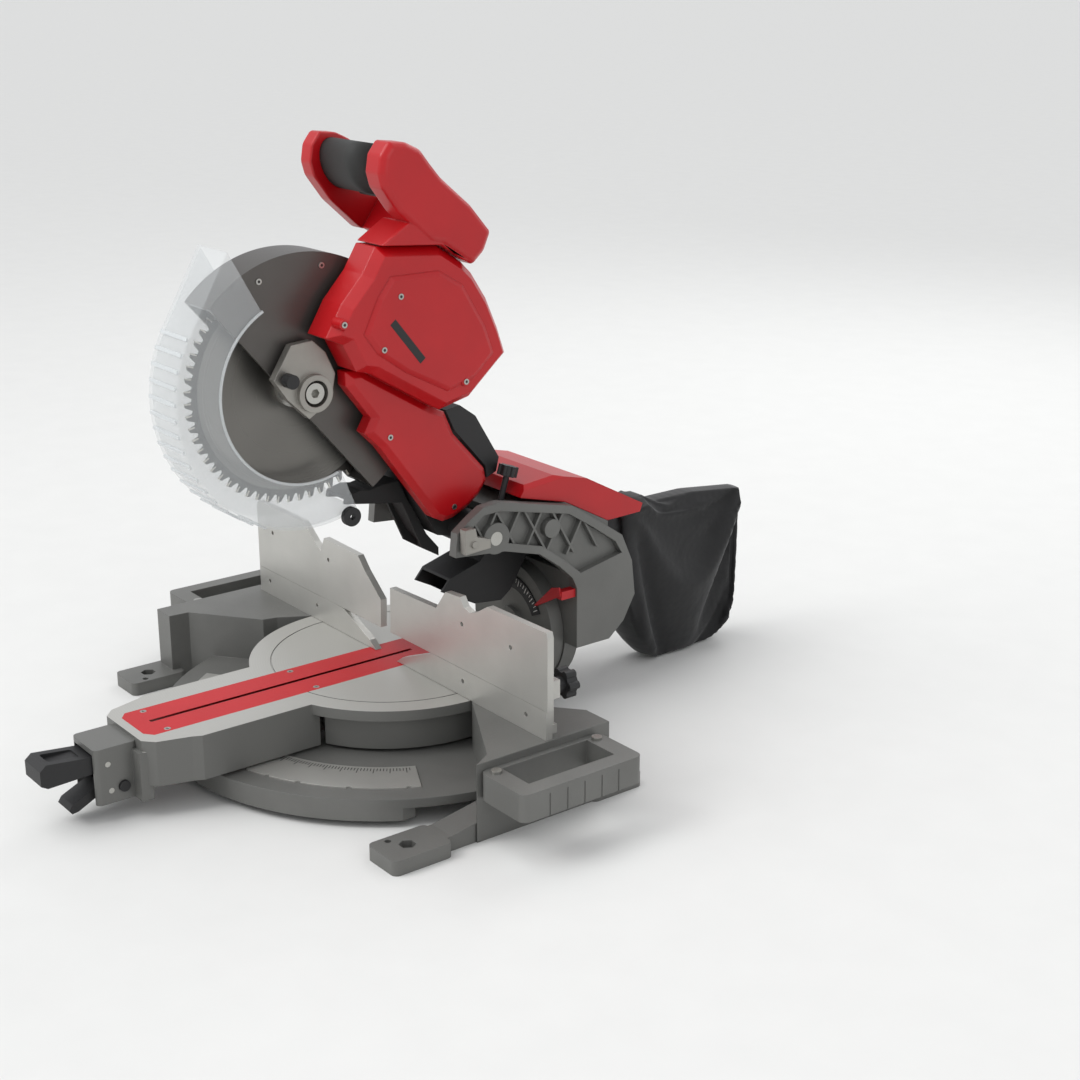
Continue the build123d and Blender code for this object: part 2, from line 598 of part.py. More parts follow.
with BuildPart() as dust_chute:
    plate(side(-CHUTE_HALF), CHUTE, 2 * CHUTE_HALF)
    mouth = [
        (46, 70), (96, 52), (128, 49), (142, 58), (166, 96), (232, 96), (232, 106), (176, 132), (146, 132),
        (108, 94), (58, 83),
    ]
    plate(side(3 - CHUTE_HALF), mouth, 2 * CHUTE_HALF - 6, mode=Mode.SUBTRACT)
dust_chute.part.label = "dust_chute"
export_step(dust_chute.part, "parts/dust_chute.step")

BAG_FRONT = 300.0
BAG_REAR = 512.0

with BuildPart() as dust_bag:
    bag_stations = [
        (0, 52, 60, 100), (-40, 72, 172, 32), (-140, 80, 190, 16), (-BAG_REAR + BAG_FRONT, 70, 158, 14),
    ]
    for depth, width, height, middle in bag_stations:
        with BuildSketch(facing(BAG_FRONT - depth)):
            with Locations((PIPE_X, middle)):
                RectangleRounded(width, height, 18)
    loft(ruled=True)
    disc(facing(BAG_FRONT - 5), [(PIPE_X, PIPE_Z)], PIPE_R + 2.5, BAG_FRONT - PIPE_REAR - 12, mode=Mode.SUBTRACT)
dust_bag.part.label = "dust_bag"
export_step(dust_bag.part, "parts/dust_bag.step")

with BuildPart() as bag_collar:
    ring(facing(302), (PIPE_X, PIPE_Z), PIPE_R + 2.2, PIPE_R, -18)
bag_collar.part.label = "bag_collar"
export_step(bag_collar.part, "parts/bag_collar.step")

with BuildPart() as hinge_shaft:
    disc(side(ARM_LEFT), [HEAD_PIVOT], PIVOT_R, ARM_RIGHT - ARM_LEFT)
hinge_shaft.part.label = "hinge_shaft"
export_step(hinge_shaft.part, "parts/hinge_shaft.step")

SPRING_WIRE = 2.0
SPRING_PITCH = 4.6

with BuildPart() as lift_spring:
    for turn in range(4):
        with BuildSketch(side(66 + turn * SPRING_PITCH)) as coil:
            with Locations(HEAD_PIVOT):
                Circle(15)
                Circle(15 - 2 * SPRING_WIRE, mode=Mode.SUBTRACT)
        extrude(coil.sketch, amount=2 * SPRING_WIRE)
    box(side(66), (HEAD_PIVOT[0] + 13, HEAD_PIVOT[1] - 6), 3, 8, 3 * SPRING_PITCH + 2 * SPRING_WIRE)
lift_spring.part.label = "lift_spring"
export_step(lift_spring.part, "parts/lift_spring.step")

LOCK_PIN_YZ = (36.0, 154.0)

with BuildPart() as head_lock_pin:
    disc(side(ARM_RIGHT - 16), [LOCK_PIN_YZ], 4.0, 30)
    plate(side(ARM_RIGHT + 2), [(24, 144), (24, 172), (38, 172), (40, 162), (58, 156), (58, 146)], 10)
head_lock_pin.part.label = "head_lock_pin"
export_step(head_lock_pin.part, "parts/head_lock_pin.step")

with BuildPart() as depth_stop_knob:
    disc(DEPTH_PLANE, [(0, 0)], 3.5, 52)
    with BuildSketch(DEPTH_PLANE.offset(44)) as depth_lobes:
        Circle(9)
        with PolarLocations(9, 6):
            Circle(2.6)
    extrude(depth_lobes.sketch, amount=12)
depth_stop_knob.part.label = "depth_stop_knob"
export_step(depth_stop_knob.part, "parts/depth_stop_knob.step")

with BuildPart() as bevel_lock_lever:
    disc(facing(DRUM_BACK + 62 + CLEAR), [(0, 0)], 9, -20)
    box(facing(DRUM_BACK + 70), (-24, 0), 60, 14, -10, corner=5)
bevel_lock_lever.part.label = "bevel_lock_lever"
export_step(bevel_lock_lever.part, "parts/bevel_lock_lever.step")

# ---------------------------------------------------------------- head

HEAD_RIGHT = 88.0
LOWER_RIGHT = 58.0
CASTING_RIGHT = 36.0
CASTING_LEFT = -44.0
RING_GAP = 31.5
POD = [
    (-118, 395), (-98, 428), (-72, 456), (-56, 482), (20, 476), (51, 456), (64, 443), (83, 414), (98, 380),
    (108, 351), (96, 341), (59, 309), (20, 300), (-40, 336), (-66, 352), (-83, 356), (-98, 386),
]
LOWER_BLOCK = [
    (-84, 352), (-66, 352), (-40, 336), (20, 300), (40, 291), (52, 264), (93, 218), (96, 203), (85, 188),
    (68, 176), (50, 168), (36, 166), (24, 172), (-43, 263), (-63, 283), (-54, 298), (-84, 337),
]
GUARD_SPAN = (112, 292)
NECK = [(2, 222), (16, 248), (77, 199), (84, 168), (60, 140), (40, 145), (14, 190)]
LEFT_WEB = [
    (-146, 304), (-89, 362), (38, 394), (60, 356), (40, 262), (60, 216), (40, 190), (28, 205),
    (-10, 244), (-90, 296),
]
RIGHT_WEB = [(8, 224), (-6, 300), (24, 372), (58, 408), (80, 372), (40, 290), (48, 262), (72, 200), (40, 176)]
DOCK = [(63, 294), (84, 279), (116, 226), (112, 210), (99, 205), (97, 219), (56, 266), (44, 291)]

with BuildPart() as head_casting:
    plate(side(CASTING_LEFT), NECK, CASTING_RIGHT - CASTING_LEFT)
    disc(side(-57), [HEAD_PIVOT], 20, 57 + 62)
    plate(side(CASTING_LEFT), LEFT_WEB, -RING_GAP - CASTING_LEFT - 1)
    disc(side(CASTING_LEFT), [ARBOR], 40, -RING_GAP - CASTING_LEFT - 1)
    disc(side(CASTING_LEFT), [ARBOR], NOSE_R - RUNNING, -26 - CASTING_LEFT)
    disc(side(CASTING_LEFT), [MOTOR], 24, -RING_GAP - CASTING_LEFT - 1)
    plate(side(RING_GAP + 1), RIGHT_WEB, CASTING_RIGHT - RING_GAP - 1)
    disc(side(RING_GAP + 1), [MOTOR], 30, CASTING_RIGHT - RING_GAP - 1)
    disc(side(-70), [ARBOR], ARBOR_R + RUNNING, 60, mode=Mode.SUBTRACT)
    disc(side(-70), [MOTOR], 5 + RUNNING, 120, mode=Mode.SUBTRACT)
    disc(side(-80), [HEAD_PIVOT], PIVOT_R + RUNNING, 200, mode=Mode.SUBTRACT)
    plate(side(CASTING_RIGHT - 8), DOCK, 8, mode=Mode.SUBTRACT)
head_casting.part.label = "head_casting"
export_step(head_casting.part, "parts/head_casting.step")

CHORD_FRONT = (-221.0, 428.0)
CHORD_REAR = (-74.0, 256.0)
PLATE_X = 22.0
PLATE_OUT = 26.0


def guard_half(plane, thickness, radius, mode=Mode.ADD):
    """Part of a disc about the arbor on the upper side of the guard's chord."""
    along = (CHORD_REAR[0] - CHORD_FRONT[0], CHORD_REAR[1] - CHORD_FRONT[1])
    with BuildSketch(plane) as half:
        with BuildLine():
            Polyline(
                (CHORD_FRONT[0] - along[0], CHORD_FRONT[1] - along[1]),
                (CHORD_REAR[0] + along[0], CHORD_REAR[1] + along[1]),
                (CHORD_REAR[0] + along[0] + 400, CHORD_REAR[1] + along[1] + 400),
                (CHORD_FRONT[0] - along[0] + 400, CHORD_FRONT[1] - along[1] + 400),
                close=True,
            )
        make_face()
        with Locations(ARBOR):
            Circle(radius, mode=Mode.INTERSECT)
    extrude(half.sketch, amount=thickness, mode=mode)


with BuildPart() as upper_guard:
    guard_half(side(-PLATE_OUT), 2 * PLATE_OUT, UPPER_GUARD_R)
    guard_half(side(-PLATE_X), 2 * PLATE_X, UPPER_GUARD_R - 4, mode=Mode.SUBTRACT)
    disc(side(0), [ARBOR], 26, 40, mode=Mode.SUBTRACT)
    disc(side(-40), [ARBOR], 20, 40, mode=Mode.SUBTRACT)
upper_guard.part.label = "upper_guard"
export_step(upper_guard.part, "parts/upper_guard.step")

DEFLECTOR = [
    (-70, 198), (-68, 206), (-50, 210), (-38, 208), (-22, 211), (0, 212), (10, 190), (36, 143),
    (52, 124), (52, 114),
    (30, 128), (4, 186), (-22, 190),
]

with BuildPart() as dust_deflector:
    plate(side(-20), DEFLECTOR, 40)
    with BuildSketch(side(-16)) as chip_path:
        with BuildLine():
            Polyline(
                (-76, 190), (-72, 202), (-50, 206), (-38, 204), (-22, 207), (-3, 208), (6, 189),
                (32, 142), (47, 124),
                (47, 108), (26, 122), (0, 180), (-24, 184), close=True,
            )
        make_face()
    extrude(chip_path.sketch, amount=32, mode=Mode.SUBTRACT)
dust_deflector.part.label = "dust_deflector"
export_step(dust_deflector.part, "parts/dust_deflector.step")

with BuildPart() as motor_housing:
    plate(side(CASTING_RIGHT + CLEAR), POD, HEAD_RIGHT - CASTING_RIGHT - CLEAR)
    plate(side(CASTING_RIGHT + CLEAR), LOWER_BLOCK, LOWER_RIGHT - CASTING_RIGHT - CLEAR)
    chamfer(motor_housing.faces().sort_by(Axis.X)[-1].edges(), length=7)
    with BuildSketch(side(RING_GAP)) as pod_hollow:
        with BuildLine():
            Polyline(*POD, close=True)
        make_face()
        offset(amount=-4, kind=Kind.INTERSECTION)
    extrude(pod_hollow.sketch, amount=HEAD_RIGHT - RING_GAP - 9, mode=Mode.SUBTRACT)
    with BuildSketch(side(RING_GAP)) as block_hollow:
        with BuildLine():
            Polyline(*LOWER_BLOCK, close=True)
        make_face()
        offset(amount=-4, kind=Kind.INTERSECTION)
    extrude(block_hollow.sketch, amount=LOWER_RIGHT - RING_GAP - 4, mode=Mode.SUBTRACT)
motor_housing.part.label = "motor_housing"
export_step(motor_housing.part, "parts/motor_housing.step")

HANDLE_ARM = [
    (-42, 587), (-21, 585), (-4, 577), (8, 562), (21, 547), (58, 516), (84, 486), (75, 466), (60, 453),
    (51, 458), (36, 468), (20, 478), (6, 481), (-31, 514), (-51, 541), (-55, 556), (-52, 574),
]
CROSSBAR = [(30, 514), (58, 490), (74, 466), (60, 453), (51, 458), (36, 468), (20, 478), (6, 481)]
HANDLE_LEFT = -75.0
HANDLE_RIGHT = 86.0
ARM_LEFT_INNER = -50.0
ARM_RIGHT_INNER = 56.0
GRIP_CENTRE = (-22.0, 553.0)

with BuildPart() as handle_frame:
    plate(side(HANDLE_LEFT), HANDLE_ARM, ARM_LEFT_INNER - HANDLE_LEFT)
    plate(side(ARM_RIGHT_INNER), HANDLE_ARM, HANDLE_RIGHT - ARM_RIGHT_INNER)
    plate(side(ARM_LEFT_INNER), CROSSBAR, ARM_RIGHT_INNER - ARM_LEFT_INNER)
    fillet(handle_frame.faces().sort_by(Axis.X)[-1].edges(), radius=6)
    fillet(handle_frame.faces().sort_by(Axis.X)[0].edges(), radius=6)
    plate(side(RING_GAP + 1), [(-54, 483), (20, 477), (50, 457), (66, 456), (36, 470), (6, 496), (-20, 505)], 50)
handle_frame.part.label = "handle_frame"
export_step(handle_frame.part, "parts/handle_frame.step")

GRIP_PLANE = Plane(origin=(ARM_LEFT_INNER, GRIP_CENTRE[0], TABLE_H + GRIP_CENTRE[1]), x_dir=(0, 0.9, 0.436),
                   z_dir=(1, 0, 0))

with BuildPart() as handle_grip:
    with BuildSketch(GRIP_PLANE):
        Ellipse(19, 29)
    extrude(amount=ARM_RIGHT_INNER - ARM_LEFT_INNER)
    with BuildSketch(GRIP_PLANE.offset(22)) as trigger_pocket:
        with Locations((6, -26)):
            Rectangle(18, 18)
    extrude(trigger_pocket.sketch, amount=62, mode=Mode.SUBTRACT)
    with BuildSketch(GRIP_PLANE.offset(-1)) as lock_bore:
        with Locations((9, -4)):
            Circle(4.4)
    extrude(lock_bore.sketch, amount=130, mode=Mode.SUBTRACT)
handle_grip.part.label = "handle_grip"
export_step(handle_grip.part, "parts/handle_grip.step")

with BuildPart() as trigger:
    with BuildSketch(GRIP_PLANE.offset(22.5)) as trigger_face:
        with Locations((6, -28)):
            RectangleRounded(15, 16, 4)
    extrude(trigger_face.sketch, amount=61)
trigger.part.label = "trigger"
export_step(trigger.part, "parts/trigger.step")

with BuildPart() as lock_off_button:
    with BuildSketch(GRIP_PLANE.offset(0.5)) as button_face:
        with Locations((9, -4)):
            Circle(4.0)
    extrude(button_face.sketch, amount=30)
lock_off_button.part.label = "lock_off_button"
export_step(lock_off_button.part, "parts/lock_off_button.step")

with BuildPart() as battery_dock:
    plate(side(-20), DOCK, 70)
    for rail in (-8, 32):
        box(Plane(origin=(rail, 108, TABLE_H + 246), x_dir=(1, 0, 0), z_dir=(0, -0.85, -0.53)), (6, 0), 5, 200, 6,
            mode=Mode.SUBTRACT)
battery_dock.part.label = "battery_dock"
export_step(battery_dock.part, "parts/battery_dock.step")

STATOR_R = 32.0

with BuildPart() as motor_stator:
    ring(side(CASTING_RIGHT), MOTOR, STATOR_R, 20, 38)
motor_stator.part.label = "motor_stator"
export_step(motor_stator.part, "parts/motor_stator.step")

ROTOR_RATIO = 2.8
ARBOR_PULLEY_R = 36.4
MOTOR_PULLEY_R = ARBOR_PULLEY_R / ROTOR_RATIO

with BuildPart() as motor_rotor:
    disc(side(-60), [MOTOR], 5, 138)
    disc(side(CASTING_RIGHT + 1), [MOTOR], 19.4, 36)
    disc(side(-58), [MOTOR], MOTOR_PULLEY_R, 12)
motor_rotor.part.label = "motor_rotor"
export_step(motor_rotor.part, "parts/motor_rotor.step")

BELT_T = 2.0


def belt_run(outer, width):
    """Closed outline round both pulleys; outer is how far it stands off each pulley."""
    with BuildSketch(side(-56)) as run:
        with Locations(ARBOR):
            Circle(ARBOR_PULLEY_R + outer)
        with Locations(MOTOR):
            Circle(MOTOR_PULLEY_R + outer)
        make_hull()
    return extrude(run.sketch, amount=width, mode=Mode.PRIVATE)


with BuildPart() as drive_belt:
    add(belt_run(0.2 + BELT_T, 9))
    add(belt_run(0.2, 9), mode=Mode.SUBTRACT)
drive_belt.part.label = "drive_belt"
export_step(drive_belt.part, "parts/drive_belt.step")

with BuildPart() as belt_cover:
    with BuildSketch(side(-66)) as cover_out:
        with Locations(ARBOR):
            Circle(47)
        with Locations(MOTOR):
            Circle(24)
        make_hull()
    extrude(cover_out.sketch, amount=66 + CASTING_LEFT)
    with BuildSketch(side(-63)) as cover_in:
        with Locations(ARBOR):
            Circle(43)
        with Locations(MOTOR):
            Circle(20)
        make_hull()
    extrude(cover_in.sketch, amount=63 + CASTING_LEFT, mode=Mode.SUBTRACT)
belt_cover.part.label = "belt_cover"
export_step(belt_cover.part, "parts/belt_cover.step")

BRACKET = [
    (-163, 352), (-141, 386), (-116, 388), (-101, 374), (-90, 350), (-96, 322), (-123, 306), (-148, 330),
]

with BuildPart() as guard_bracket:
    plate(side(RING_GAP + 1), BRACKET, 10)
    disc(side(RING_GAP + 11), [ARBOR], 20, 6)
    disc(side(0), [ARBOR], 14, 60, mode=Mode.SUBTRACT)
    disc(side(RING_GAP - 10), [(-150, 352)], 5.0 + RUNNING, 40, mode=Mode.SUBTRACT)
guard_bracket.part.label = "guard_bracket"
export_step(guard_bracket.part, "parts/guard_bracket.step")

with BuildPart() as spindle_lock:
    disc(side(RING_GAP + 1), [(-150, 352)], 5.0, 14.6)
    disc(side(RING_GAP + 15.6), [(-150, 352)], 7.5, 12)
spindle_lock.part.label = "spindle_lock"
export_step(spindle_lock.part, "parts/spindle_lock.step")

HOUSING_SCREWS = [(-105, 410), (-36, 431), (-58, 378), (45, 330)]
BLOCK_SCREWS = [(-34, 275), (48, 182)]

with BuildPart() as head_screws:
    disc(side(HEAD_RIGHT), HOUSING_SCREWS, 3.2, 0.8)
    disc(side(LOWER_RIGHT), BLOCK_SCREWS, 3.2, 0.8)
    disc(side(PLATE_OUT), [(-166, 452), (-92, 461)], 3.2, 1.2)
head_screws.part.label = "head_screws"
export_step(head_screws.part, "parts/head_screws.step")

# ---------------------------------------------------------------- arbor

with BuildPart() as arbor_shaft:
    disc(side(-60), [ARBOR], ARBOR_R, 72)
    disc(side(-57), [ARBOR], ARBOR_PULLEY_R, 11)
arbor_shaft.part.label = "arbor_shaft"
export_step(arbor_shaft.part, "parts/arbor_shaft.step")

with BuildPart() as blade:
    with BuildSketch(side(-BLADE_T / 2)) as blade_face:
        with Locations(ARBOR):
            Circle(BLADE_R - 6)
            Circle(ARBOR_R, mode=Mode.SUBTRACT)
            with PolarLocations(BLADE_R - 18, 5):
                Circle(2.5, mode=Mode.SUBTRACT)
    extrude(blade_face.sketch, amount=BLADE_T)
    with BuildSketch(side(-TOOTH_T / 2)) as teeth:
        with Locations(ARBOR):
            with PolarLocations(BLADE_R - 4, TEETH):
                Rectangle(7.6, 3.4)
    extrude(teeth.sketch, amount=TOOTH_T)
blade.part.label = "blade"
export_step(blade.part, "parts/blade.step")

with BuildPart() as blade_flanges:
    ring(side(BLADE_T / 2), ARBOR, 22, ARBOR_R, 5)
    ring(side(-BLADE_T / 2), ARBOR, 22, ARBOR_R, -5)
blade_flanges.part.label = "blade_flanges"
export_step(blade_flanges.part, "parts/blade_flanges.step")

with BuildPart() as arbor_bolt:
    disc(side(12), [ARBOR], 11, 34)
    with BuildSketch(side(46)) as socket:
        with Locations(ARBOR):
            RegularPolygon(5, 6)
    extrude(socket.sketch, amount=-8, mode=Mode.SUBTRACT)
arbor_bolt.part.label = "arbor_bolt"
export_step(arbor_bolt.part, "parts/arbor_bolt.step")

# ---------------------------------------------------------------- lower guard

FLARE_START = 150
FLARE_END = 119
RIM_INNER = 100.0


def guard_face(plane, inset, inner, thickness, mode=Mode.ADD, spare=0):
    """Flat side of the lower guard: an arc about the arbor with a straight flare off it."""
    radius = GUARD_R - inset
    last = GUARD_SPAN[1] + spare
    first = FLARE_END - spare
    tip = about(ARBOR, radius / math.cos(math.radians(FLARE_START - first)), first)
    with BuildSketch(plane) as face:
        with BuildLine():
            CenterArc(ARBOR, radius, FLARE_START, last - FLARE_START)
            Line(about(ARBOR, radius, FLARE_START), tip)
            Line(tip, about(ARBOR, inner, first))
            CenterArc(ARBOR, inner, first, last - first)
            Line(about(ARBOR, inner, last), about(ARBOR, radius, last))
        make_face()
    extrude(face.sketch, amount=thickness, mode=mode)


with BuildPart() as lower_guard:
    guard_face(side(-GUARD_HALF), 0, RIM_INNER, 2 * GUARD_HALF)
    guard_face(side(GUARD_WALL - GUARD_HALF), GUARD_WALL, RIM_INNER - 20, 2 * (GUARD_HALF - GUARD_WALL),
               mode=Mode.SUBTRACT, spare=3)
    guard_face(side(-GUARD_HALF), 2, 50, GUARD_WALL)
    with BuildSketch(side(-GUARD_HALF)) as hub:
        with Locations(ARBOR):
            Circle(52)
            Circle(NOSE_R, mode=Mode.SUBTRACT)
    extrude(hub.sketch, amount=GUARD_WALL)
lower_guard.part.label = "lower_guard"
export_step(lower_guard.part, "parts/lower_guard.step")

ROLLER = about(ARBOR, 152, 287.5)

with BuildPart() as guard_roller:
    ring(side(GUARD_HALF + CLEAR), ROLLER, 10.5, 3.0, 7)
guard_roller.part.label = "guard_roller"
export_step(guard_roller.part, "parts/guard_roller.step")
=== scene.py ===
import math

import bmesh
import bpy
from mathutils import Matrix, Vector


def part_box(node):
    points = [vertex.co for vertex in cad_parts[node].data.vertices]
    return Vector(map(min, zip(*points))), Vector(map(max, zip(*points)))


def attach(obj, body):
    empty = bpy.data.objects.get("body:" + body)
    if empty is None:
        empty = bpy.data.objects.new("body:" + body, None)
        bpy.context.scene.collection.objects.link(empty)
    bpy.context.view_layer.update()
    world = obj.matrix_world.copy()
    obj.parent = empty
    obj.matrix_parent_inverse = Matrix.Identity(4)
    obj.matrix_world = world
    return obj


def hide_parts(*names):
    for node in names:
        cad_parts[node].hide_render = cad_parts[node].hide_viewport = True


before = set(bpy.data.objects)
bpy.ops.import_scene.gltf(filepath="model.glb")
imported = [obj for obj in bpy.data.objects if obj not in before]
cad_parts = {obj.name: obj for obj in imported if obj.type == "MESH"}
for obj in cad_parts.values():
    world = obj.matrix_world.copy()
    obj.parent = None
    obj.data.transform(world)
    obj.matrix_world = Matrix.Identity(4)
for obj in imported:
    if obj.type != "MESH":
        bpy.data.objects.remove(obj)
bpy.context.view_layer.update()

# %% [markdown]
# ## 1. Camera, light and floor
# The camera comes first, because every later choice is judged through it. It stands to the front right,
# above the deck, with a longish lens so that the fence and the arm keep their proportions. A wide
# overhead bank lights the saw and the floor evenly. Three large area lamps add soft edges: a key from the
# left front, a fill from the right, and a rim from behind that separates the black bag.

# %% Camera
CAMERA_PLACE = (1.6188, -1.0542, 0.8585)
CAMERA_PITCH = 71.75
CAMERA_HEADING = 51.92
CAMERA_LENS = 60.03

camera_data = bpy.data.cameras.new("camera")
camera_data.sensor_width = 36
camera_data.lens = CAMERA_LENS
camera = bpy.data.objects.new("camera", camera_data)
camera.location = CAMERA_PLACE
camera.rotation_euler = (math.radians(CAMERA_PITCH), 0, math.radians(CAMERA_HEADING))
bpy.context.collection.objects.link(camera)
bpy.context.scene.camera = camera
print("camera lens", camera_data.lens)


# %% Lamps and world
WORLD_GREY = (0.82, 0.83, 0.85, 1)
WORLD_STRENGTH = 0.85
SAW_MIDDLE = (0, 0, 0.3)


def lamp(name, place, target, size, power):
    """A square area lamp at a place, turned towards a target."""
    data = bpy.data.lights.new(name, "AREA")
    data.size = size
    data.energy = power
    obj = bpy.data.objects.new(name, data)
    obj.location = place
    aim = Vector(target) - Vector(place)
    obj.rotation_euler = aim.to_track_quat("-Z", "Y").to_euler()
    bpy.context.collection.objects.link(obj)
    return obj


lamp("key", (-0.6, -2.2, 2.2), SAW_MIDDLE, 1.2, 22)
lamp("fill", (2.6, 0.2, 1.5), SAW_MIDDLE, 1.8, 8)
lamp("rim", (-0.8, 2.2, 2.0), (0, 0.2, 0.3), 1.4, 16)
sky_data = bpy.data.lights.new("overhead_bank", "SUN")
sky_data.energy = 1.1
sky_data.angle = math.radians(50)
sky = bpy.data.objects.new("overhead_bank", sky_data)
sky.rotation_euler = (math.radians(24), math.radians(-18), 0)
bpy.context.collection.objects.link(sky)
world = bpy.data.worlds.new("world")
world.use_nodes = True
backdrop = world.node_tree.nodes["Background"]
backdrop.inputs["Color"].default_value = WORLD_GREY
backdrop.inputs["Strength"].default_value = WORLD_STRENGTH
bpy.context.scene.world = world
bpy.context.scene.view_settings.view_transform = "Standard"
print("lamps", len(bpy.data.lights))

# %% [markdown]
# ## 2. Materials
# Each material is one small node tree. Object coordinates are in metres, so a pattern of pitch p
# millimetres needs a scale of 1000 / p. A surface is never one flat colour: noise moves the colour and
# the roughness a little, and a bump gives the grain of the casting, the moulding or the cloth. A Bevel
# node rounds the shading of the CAD's sharp edges.


# %% Colour and node helpers
def linear(hex_code):
    """Linear colour of an sRGB hex value."""
    channels = [int(hex_code[i:i + 2], 16) / 255 for i in (1, 3, 5)]
    return [c / 12.92 if c <= 0.04045 else ((c + 0.055) / 1.055) ** 2.4 for c in channels] + [1]


def shaded(colour, factor):
    """Linear colour of a hex value, made darker or lighter by a factor."""
    return [min(1, c * factor) for c in linear(colour)[:3]] + [1]


def add(tree, kind, values=None, **settings):
    """Add a node, set its properties, then set or link its inputs."""
    node = tree.nodes.new(kind)
    for key, value in settings.items():
        setattr(node, key, value)
    for key, value in (values or {}).items():
        if isinstance(value, bpy.types.NodeSocket):
            tree.links.new(value, node.inputs[key])
        else:
            node.inputs[key].default_value = value
    return node


def start(name):
    """An empty material with a Principled shader on its output."""
    mat = bpy.data.materials.new(name)
    mat.use_nodes = True
    tree = mat.node_tree
    shader = tree.nodes["Principled BSDF"]
    place = add(tree, "ShaderNodeTexCoord").outputs["Object"]
    return mat, tree, shader, place


def per_mm(pitch):
    """Texture scale that repeats about every pitch millimetres."""
    return 1000 / pitch


def finish(name, colour, rough, metal=0.0, grain=1.2, depth=0.15, vary=0.10, edge=0.8,
           stretch=(1, 1, 1), coat=0.0):
    """A surface with a grain of some millimetres, uneven colour and roughness, and softly rounded edges."""
    mat, tree, shader, place = start(name)
    mapped = add(tree, "ShaderNodeMapping", {"Vector": place, "Scale": stretch}).outputs["Vector"]
    fine = add(tree, "ShaderNodeTexNoise", {"Vector": mapped, "Scale": per_mm(grain), "Detail": 3.0})
    broad = add(tree, "ShaderNodeTexNoise", {"Vector": place, "Scale": per_mm(60), "Detail": 4.0})
    ramp = add(tree, "ShaderNodeValToRGB", {"Fac": broad.outputs["Fac"]})
    ramp.color_ramp.elements[0].position = 0.3
    ramp.color_ramp.elements[0].color = shaded(colour, 1 - vary)
    ramp.color_ramp.elements[1].position = 0.7
    ramp.color_ramp.elements[1].color = shaded(colour, 1 + vary)
    spread = add(tree, "ShaderNodeMapRange",
                 {"Value": fine.outputs["Fac"], "To Min": rough - 0.06, "To Max": rough + 0.08})
    edges = add(tree, "ShaderNodeBevel", {"Radius": edge / 1000}, samples=4)
    bump = add(tree, "ShaderNodeBump", {"Height": fine.outputs["Fac"], "Strength": depth,
                                        "Distance": 0.0004, "Normal": edges.outputs["Normal"]})
    tree.links.new(ramp.outputs["Color"], shader.inputs["Base Color"])
    tree.links.new(spread.outputs["Result"], shader.inputs["Roughness"])
    tree.links.new(bump.outputs["Normal"], shader.inputs["Normal"])
    shader.inputs["Metallic"].default_value = metal
    shader.inputs["Coat Weight"].default_value = coat
    return mat


# %% Plain families
PAINT = finish("painted_die_cast_aluminium", "#6c6c69", 0.44, 0.2, 1.6, 0.35, 0.08, 1.2)
BLACK_CAST = finish("black_painted_die_casting", "#232323", 0.5, 0.1, 1.6, 0.35, 0.1, 1.2)
MACHINED = finish("milled_aluminium", "#bcbbb6", 0.34, 0.6, 0.9, 0.3, 0.06, 0.5, (0.03, 1, 1))
RED_HOUSING = finish("moulded_red_nylon", "#b4040f", 0.36, 0, 0.7, 0.10, 0.06, 1.6, coat=0.08)
RED_PLATE = finish("moulded_red_insert", "#b8121c", 0.48, 0, 0.8, 0.2, 0.05, 0.4)
BLACK_PLASTIC = finish("textured_black_nylon", "#1f1f20", 0.52, 0, 0.6, 0.3, 0.15, 0.8)
STEEL = finish("turned_zinc_plated_steel", "#b4b3ae", 0.28, 0.95, 0.5, 0.1, 0.06, 0.4)
GUNMETAL = finish("dark_coated_pressed_steel", "#5b5855", 0.34, 0.6, 1.0, 0.15, 0.08, 0.8)
ZINC = finish("cast_zinc", "#9d9a94", 0.42, 0.8, 1.4, 0.4, 0.1, 1.2)
RUBBER = finish("moulded_black_rubber", "#1a1a1a", 0.75, 0, 1.0, 0.4, 0.15, 1.0)
SCALE = finish("printed_black_scale", "#18181a", 0.45, 0, 0.6, 0.1, 0.1, 0.3)
MARK = finish("white_scale_ink", "#e6e6e2", 0.6, 0, 0.6, 0.05, 0.03, 0.1)
DARK_INK = finish("black_scale_ink", "#202020", 0.6, 0, 0.6, 0.05, 0.03, 0.1)
CARBIDE = finish("brazed_carbide", "#cfcac0", 0.3, 0.8, 0.6, 0.1, 0.05, 0.1)
print("materials", len(bpy.data.materials))


# %% A casting painted on its sides and milled on its top
NOSE_START = -0.336


